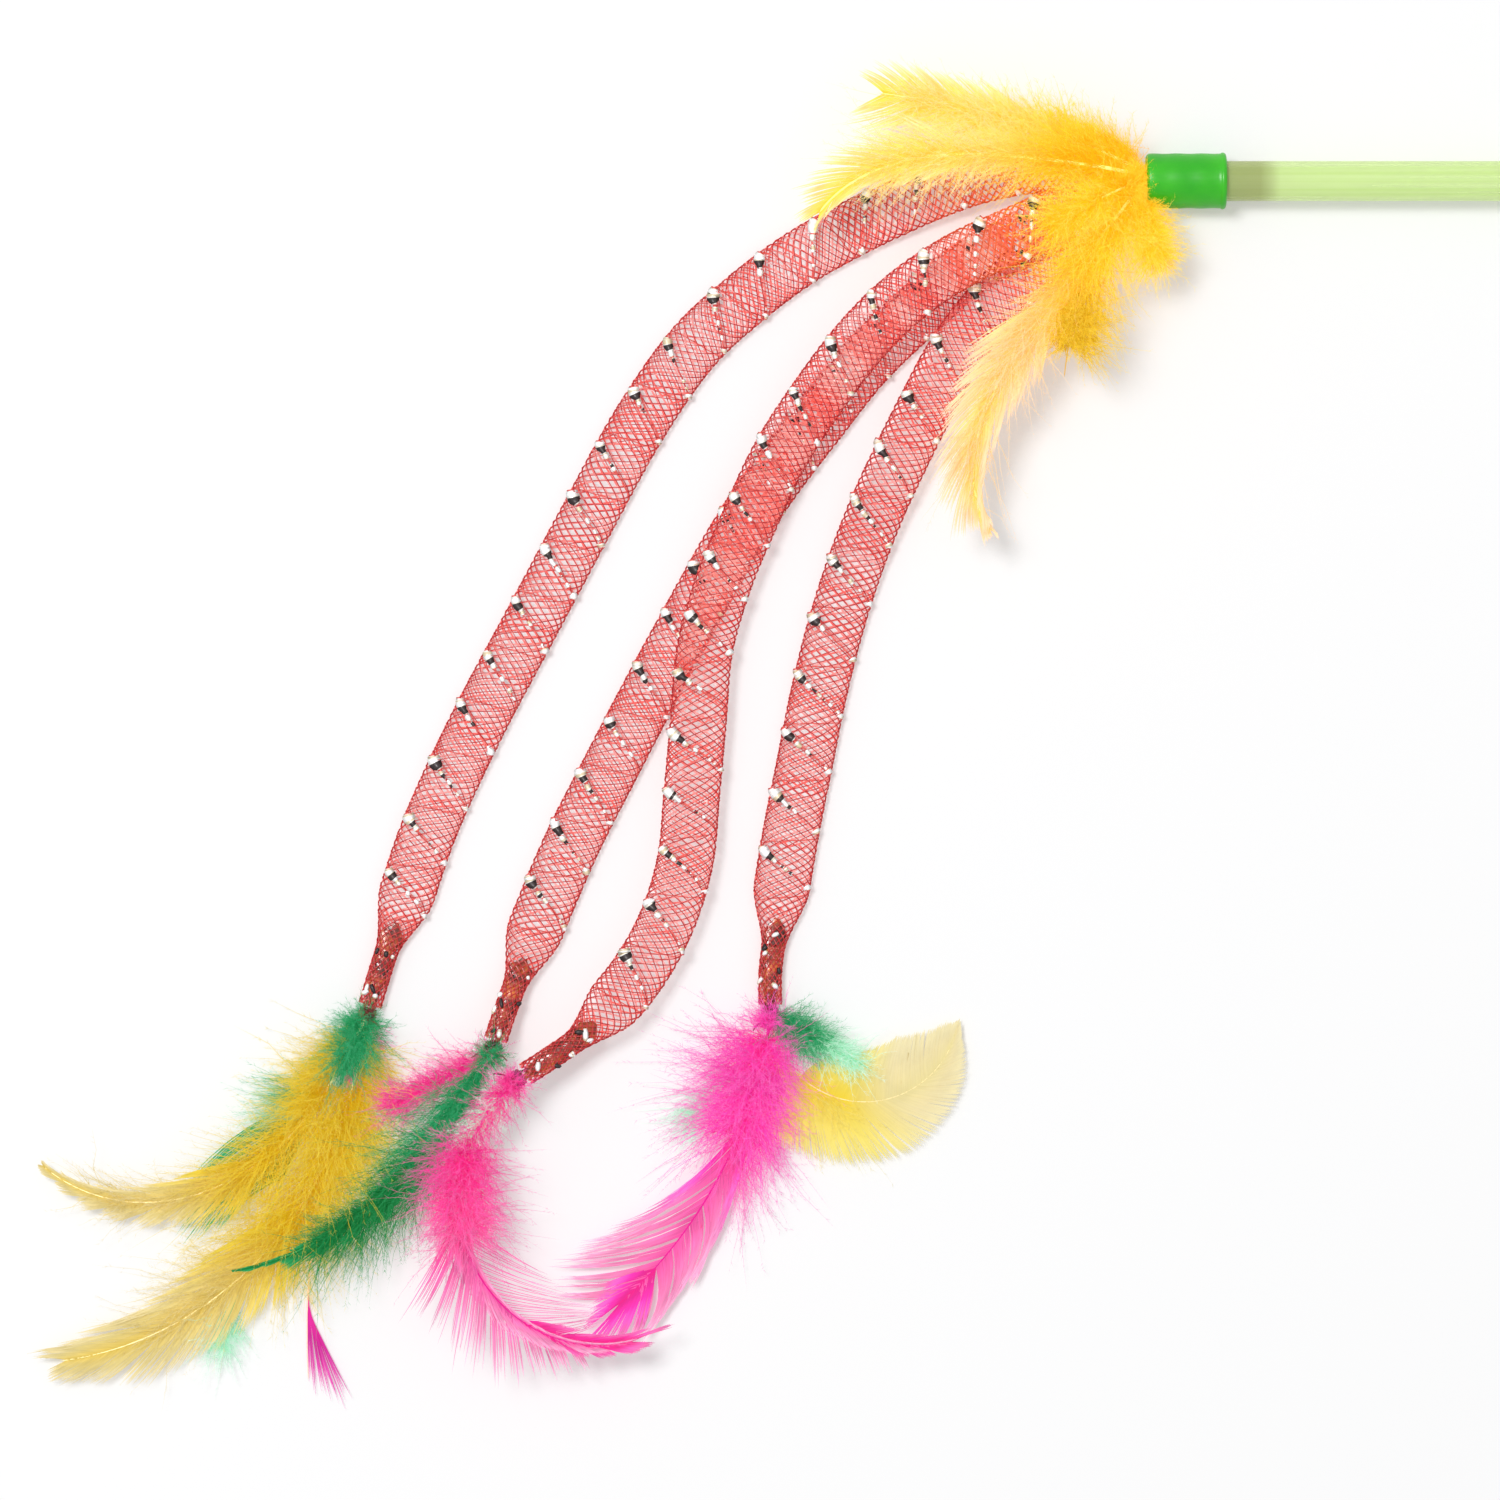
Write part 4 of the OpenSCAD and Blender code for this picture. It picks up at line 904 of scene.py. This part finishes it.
# Each feather's name, line, look and barbs. A line is (layer, layers, heading, bend, power, length) in a
# tassel and (slot, layer, heading, bend, power, length) in the ruff
FEATHERS = (
    ("1_pink", (0, 4, 249, 24, 1, 54), "magenta",
     down(0, 0.16, 220, (3, 6), roll=(-30, 60)),
     vane(0.765, 0.81, [(0, 13), (1, 14)], [], (3, 27), sweep=1, per_mm=14, locks=6, open_by=1, merge=0.6,
          wide=0.22, ragged=0.1, hairs=6)),
    ("1_green", (1, 4, 240, 12, 1, 52), "green_mint",
     over_knot(160, (3, 5)),
     down(0.01, 0.13, 900, (4, 6.5), (20, 125), (0, 180), flat=1.5, hairs=14, lean=0.25),
     down(0.22, 0.32, 120, (9, 13), (70, 95), (145, 175), curl=0.15, flat=0.9, shift=0.4),
     vane(0.24, 0.5, [], [(0.24, 23), (0.4, 23), (0.5, 13)], (50, 43), sweep=-36, open_by=2, wide=0.24,
          locks=3, per_mm=5),
     down(0.9, 1, 170, (3, 6.5), (20, 80), flat=0.3, shift=-0.12)),
    ("1_yellow_long", (2, 4, 262, -75, 1.2, 73), "lemon_straw",
     down(0.04, 0.3, 520, (6, 10.5), (45, 95), (-20, 50)),
     down(0.13, 0.29, 380, (8, 13), (35, 90), lean=0.3),
     down(0.17, 0.5, 700, (7, 13), (25, 80), lean=0.1),
     down(0.28, 0.5, 210, (8, 13), (40, 85), (-20, 40), flat=0.4),
     down(0.33, 0.66, 260, (8, 14), (25, 60), (150, 205), flat=0.4),
     down(0.45, 0.75, 160, (7, 12), (20, 45), flat=0.2),
     vane(0.4, 0.98, [(0.4, 12), (0.7, 13), (0.9, 9), (1, 3)], [(0.4, 14), (0.7, 17), (0.86, 13), (1, 3)],
          (36, 18), locks=8, open_by=3.5, merge=0.35, wide=0.24, per_mm=4.4)),
    ("1_yellow_slim", (3, 4, 244, -106, 1.6, 61), "lemon_straw",
     down(0.05, 0.26, 540, (5, 9.5), (50, 95), (120, 200)),
     down(0.17, 0.5, 680, (6.5, 12), (15, 75), lean=0.2),
     down(0.45, 0.8, 240, (5, 9), (15, 45), flat=0.2, lean=-0.3),
     vane(0.42, 0.99, [(0.42, 9), (0.7, 7), (1, 2)], [(0.42, 12), (0.7, 9), (1, 2)], (34, 16), locks=7,
          wide=0.26, per_mm=4.2, open_by=2)),
    ("2_mint", (0, 2, 232, 0, 1, 14), "mint",
     down(0.1, 0.75, 300, (2.5, 4.5), (15, 90))),
    ("2_pink", (1, 2, 224, 150, 1.1, 57), "pink",
     over_knot(180, (3, 5)),
     down(0, 0.22, 260, (3, 6), (30, 100), flat=0.5),
     down(0.2, 0.43, 1150, (6, 10), (45, 125), flat=0.8),
     vane(0.36, 0.98, [(0.36, 6), (0.6, 5), (1, 2)], [(0.36, 8), (0.6, 7), (0.8, 5), (1, 2)], (20, 14),
          locks=8, wide=0.26, per_mm=4.6, merge=0.1, open_by=1),
     vane(0.36, 0.86, [], [(0.36, 15), (0.6, 11.5), (0.72, 7), (0.86, 4)], (26, 46), sweep=6, locks=9,
          open_by=2.4, wide=0.22, per_mm=4.8, merge=0.15, ragged=0.12, gap=0.14),
     vane(0.38, 0.8, [(0.38, 15), (0.6, 17), (0.8, 8)], [], (44, 30), sweep=14, locks=7, open_by=6, wide=0.13,
          per_mm=1.5, merge=0.1),
     vane(0.7, 0.99, [(0.7, 5), (0.9, 8), (1, 8)], [(0.7, 3), (1, 5)], (34, 12), sweep=-4, locks=4, open_by=2,
          wide=0.28, per_mm=6, shift=-0.55)),
    ("3_pink", (0, 2, 210, -5, 1, 18), "pink",
     over_knot(90, (2.5, 4)),
     down(0, 0.85, 480, (3, 6), (15, 90), flat=0.35, shift=-0.5)),
    ("3_green", (1, 2, 240, -50, 1.5, 51), "dark_green",
     over_knot(150, (2.5, 4.5)),
     down(0, 0.2, 260, (3, 5), (12, 60)),
     down(0.06, 0.42, 620, (5, 9.5), (20, 80), lean=-0.3),
     down(0.2, 0.72, 800, (4.5, 9), (15, 70), lean=0.3),
     down(0.25, 0.6, 200, (7, 11), (20, 55), (-20, 30), flat=0.2),
     vane(0.3, 1, [(0.3, 9), (0.7, 7), (0.85, 3), (1, 1)], [(0.3, 5), (0.7, 4), (0.85, 2), (1, 1)],
          (24, 10), wide=0.26, per_mm=3.8)),
    ("4_mint", (0, 4, 232, 0, 1, 20), "mint",
     down(0.45, 0.95, 130, (3.5, 7), (25, 80), flat=0.25, thin=0.04)),
    ("4_yellow", (1, 4, 278, 158, 1, 38), "cream",
     down(0.08, 0.4, 300, (6, 10), (20, 60), (150, 200), flat=0.3),
     vane(0.14, 0.98, [], [(0.14, 12), (0.5, 11), (0.75, 7), (0.9, 3.5), (1, 2)], (62, 50, 38, 10),
          open_by=0.3, merge=0, locks=3, wide=0.36, per_mm=7, ragged=0.015, end=0.6),
     vane(0.25, 0.98, [(0.25, 7), (0.6, 10), (0.85, 6.5), (1, 2)], [], (88, 84, 66, 10), sweep=-20,
          open_by=0.3, merge=0, locks=3, wide=0.36, per_mm=8, ragged=0.015, end=0.6)),
    ("4_pink", (2, 4, 262, -40, 1, 48), "light_pink",
     over_knot(200, (3, 6)),
     down(0.05, 0.36, 1420, (7, 11.5), (48, 120), (-10, 190), flat=0.7, lean=-0.1),
     down(0.05, 0.3, 110, (10, 15), (50, 110), (150, 200), flat=0.4, wide=0.07),
     down(0.2, 0.44, 190, (9, 14), (15, 60), (-20, 40), flat=0.3, wide=0.07),
     vane(0.3, 0.56, [(0.3, 12), (0.56, 15)], [], (26, 36), sweep=-34, locks=3, open_by=1.5, merge=0.4,
          wide=0.26, per_mm=6),
     vane(0.54, 0.97, [(0.54, 14), (0.75, 13), (0.9, 10), (1, 8)], [], (42, 46, 54, 50), sweep=-52, locks=7,
          open_by=2, merge=0.95, wide=0.25, per_mm=7.5, ragged=0.03, gap=0.12),
     vane(0.32, 0.97, [], [(0.32, 16), (0.5, 20), (0.7, 17), (0.9, 12), (1, 8)], (14, 24, 32, 26), sweep=22,
          locks=11, open_by=3, merge=0.8, wide=0.24, per_mm=5.5, ragged=0.08, gap=0.16),
     vane(0.84, 0.99, [(0.84, 9), (1, 9)], [(0.84, 8), (1, 8)], (34, 8), sweep=-6, locks=5, open_by=1.2,
          merge=0.5, wide=0.26, per_mm=7, shift=-0.95, gap=0.06)),
    ("4_green", (3, 4, 335, -5, 1, 15), "green_mint",
     down(0, 0.4, 440, (3, 5.5), (15, 85)),
     down(0.25, 0.85, 250, (3, 6), (15, 85), shift=0.36)),
    ("ruff_1", (3, 0, 146, 35, 1, 26), "gold",
     down(0.02, 1, 880, (4.5, 9), (15, 80), lean=0.3)),
    ("ruff_2", (-3, 1, 276, 15, 1, 13), "gold",
     down(0.02, 0.8, 820, (3.5, 6), (35, 115))),
    ("ruff_3", (2, 2, 155, 18, 1, 41), "pale",
     down(0.02, 0.85, 980, (5, 9), (15, 65), lean=0.35),
     vane(0.45, 0.98, [(0.45, 9), (0.8, 12), (1, 5)], [(0.45, 8), (0.8, 9), (1, 5)], (40, 34), open_by=5)),
    ("ruff_4", (-2, 3, 230, 35, 1, 31), "amber",
     down(0.02, 0.6, 860, (5, 9.5), (25, 100), lean=0.25),
     down(0.66, 0.84, 820, (4, 7.5), (60, 130), flat=0.8, lean=0.2)),
    ("ruff_5", (-1, 4, 232, 75, 4, 60), "peach",
     down(0.02, 0.55, 900, (5, 10), (12, 65)),
     down(0.4, 0.8, 220, (6, 11), (15, 45), flat=0.2),
     vane(0.36, 0.99, [(0.36, 12), (0.8, 11), (1, 2)], [(0.36, 14), (0.8, 11), (1, 2)], (32, 16), open_by=3.5,
          wide=0.24, per_mm=4.2)),
    ("ruff_6", (1, 5, 172, 62, 3, 51), "pale",
     down(0.02, 0.75, 620, (5, 9.5), (12, 65), (-10, 62)),
     down(0.02, 0.75, 620, (5, 9.5), (12, 65), (118, 190)),
     vane(0.5, 0.99, [(0.5, 8), (0.8, 7), (1, 4)], [(0.5, 11), (0.8, 10), (1, 4)], (36, 22), open_by=5)),
    ("ruff_7", (0, 6, 204, 10, 1, 15), "gold",
     down(0.02, 1, 840, (4, 7.5), (15, 110)),
     down(0, 0.2, 400, (3, 5.5), (95, 160), (-10, 190), curl=0.08)),
)

# Quill sizes at root and tip: most feathers', and those that differ
QUILL = (0.52, 0.14)
QUILLS = {"4_yellow": (0.24, 0.1), "ruff_6": (0.62, 0.3)}


def make_feathers(ties):
    """Builds every feather in the list. The seeds keep each one the same from run to run."""
    mats = {name: feather_material(f"feather_{name}", *look[:-1]) for name, look in LOOKS.items()}
    for seed, (name, line, look, *barbs) in enumerate(FEATHERS):
        rng, mesh = np.random.default_rng(seed + 1), Mesh()
        ruff = name.startswith("ruff")
        spine = ruff_spine(*line) if ruff else tassel_spine(ties[int(name[0])], *line)
        add_quill(mesh, spine, *QUILLS.get(name, QUILL))
        for kind, values, more in barbs:
            kind(mesh, spine, rng, *values, **more)
        body = "wand" if ruff else f"tassel_{name[0]}"
        solid = f"ruff_feather_{name[-1]}" if ruff else f"tassel_{name}"
        mesh.hand_over(f"plume_{name}", mats[look], body, f"feather_{LOOKS[look][-1]}", solid)


# ---- wand
def arc(x, r, radius, angles):
    """Points of a profile round (x, r), at angles in degrees."""
    return [(x + radius * math.cos(a), r + radius * math.sin(a)) for a in np.radians(angles)]


def cap_wall(x0, sign):
    """A cap's outer skin from its plain end at x0, going towards sign, to its bead."""
    skin = [(d, CAP_R + 0.03 * math.sin(d * 1.7)) for d in np.linspace(0.9, 10.7, 22)]
    corner, bead = arc(0.6, 3.5, 0.6, range(170, 89, -16)), arc(11.5, 3.75, 0.5, range(135, -1, -15))
    return [(x0 + sign * x, r) for x, r in [(0, 3.5)] + corner + skin + bead]


def make_wand(mats):
    """Rod, caps and glue. The rod and the caps are turned from smooth profiles with the part's own sizes."""
    edge = 0.12
    steps = np.linspace(ROD_TO, ROD_FROM, 60)[1:-1]
    near, far, outer, inner = ROD_FROM + edge, ROD_TO - edge, ROD_R - edge, ROD_BORE + edge
    corners = [
        arc(x, r, edge, np.linspace(first, first + 90, 4))
        for x, r, first in ((far, outer, 0), (near, outer, 90), (near, inner, 180), (far, inner, 270))
    ]
    loop = corners[0] + [(x, ROD_R) for x in steps] + corners[1]
    loop += corners[2] + [(x, ROD_BORE) for x in steps[::-1]] + corners[3]
    mesh = Mesh()
    lathe(mesh, loop, 64)
    mesh.hand_over("rod_tube", rod_material(), "wand", "rod_plastic", "rod")

    green = cap_material()
    inside = [(MOUTH_X + d, CAP_BORE) for d in np.linspace(11.8, 0.3, 24)] + [(MOUTH_X + 0.05, 3.2)]
    front = cap_wall(MOUTH_X, 1) + [(MOUTH_X + CAP_LEN, 3.3)] + inside
    far = [(CAP_END, r) for r in (0.02, 0.8, 2, 3)] + cap_wall(CAP_END, -1)
    far += [(CAP_END - CAP_LEN, 3.3)] + [(x, CAP_BORE) for x in np.linspace(-5.8, 4.55, 22)]
    far += [(ROD_TO, r) for r in (2.9, 1.5, 0.02)]
    for name, profile in (("front_cap", front[::-1]), ("handle_cap", far)):
        mesh = Mesh()
        lathe(mesh, profile, 72)
        mesh.hand_over(f"{name}_vinyl", green, "wand", "cap_vinyl", name)

    carried = {f"mesh_root_{n}": mats["root"] for n in ROUTES}
    browns = (0.12, 0.04, 0.012), (0.3, 0.13, 0.03), (0.5, 0.28, 0.08)
    carried["glue_plug"] = glue_material("plug_glue", *browns, clear=0.3)
    for name, mat in carried.items():
        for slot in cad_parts[name].material_slots:
            slot.material = mat


make_camera()
make_world(0.55)
make_lamp("key", (-0.9, 0.36, 1.55), 0.5, 17.3)
make_floor()
MATS = {"net": net_material(), "foil": foil_material(), "thread": thread_material()}
MATS["neck"] = glue_material("neck_glue", (0.06, 0.012, 0.006), (0.36, 0.035, 0.012), (0.85, 0.2, 0.03), 0.1)
MATS["root"] = glue_material("net_root", (0.2, 0.01, 0.01), (0.5, 0.03, 0.02), (0.8, 0.1, 0.05))
TIES = make_all_streamers(MATS)
make_wand(MATS)
make_feathers(TIES)

bpy.context.scene.view_settings.view_transform = "Standard"
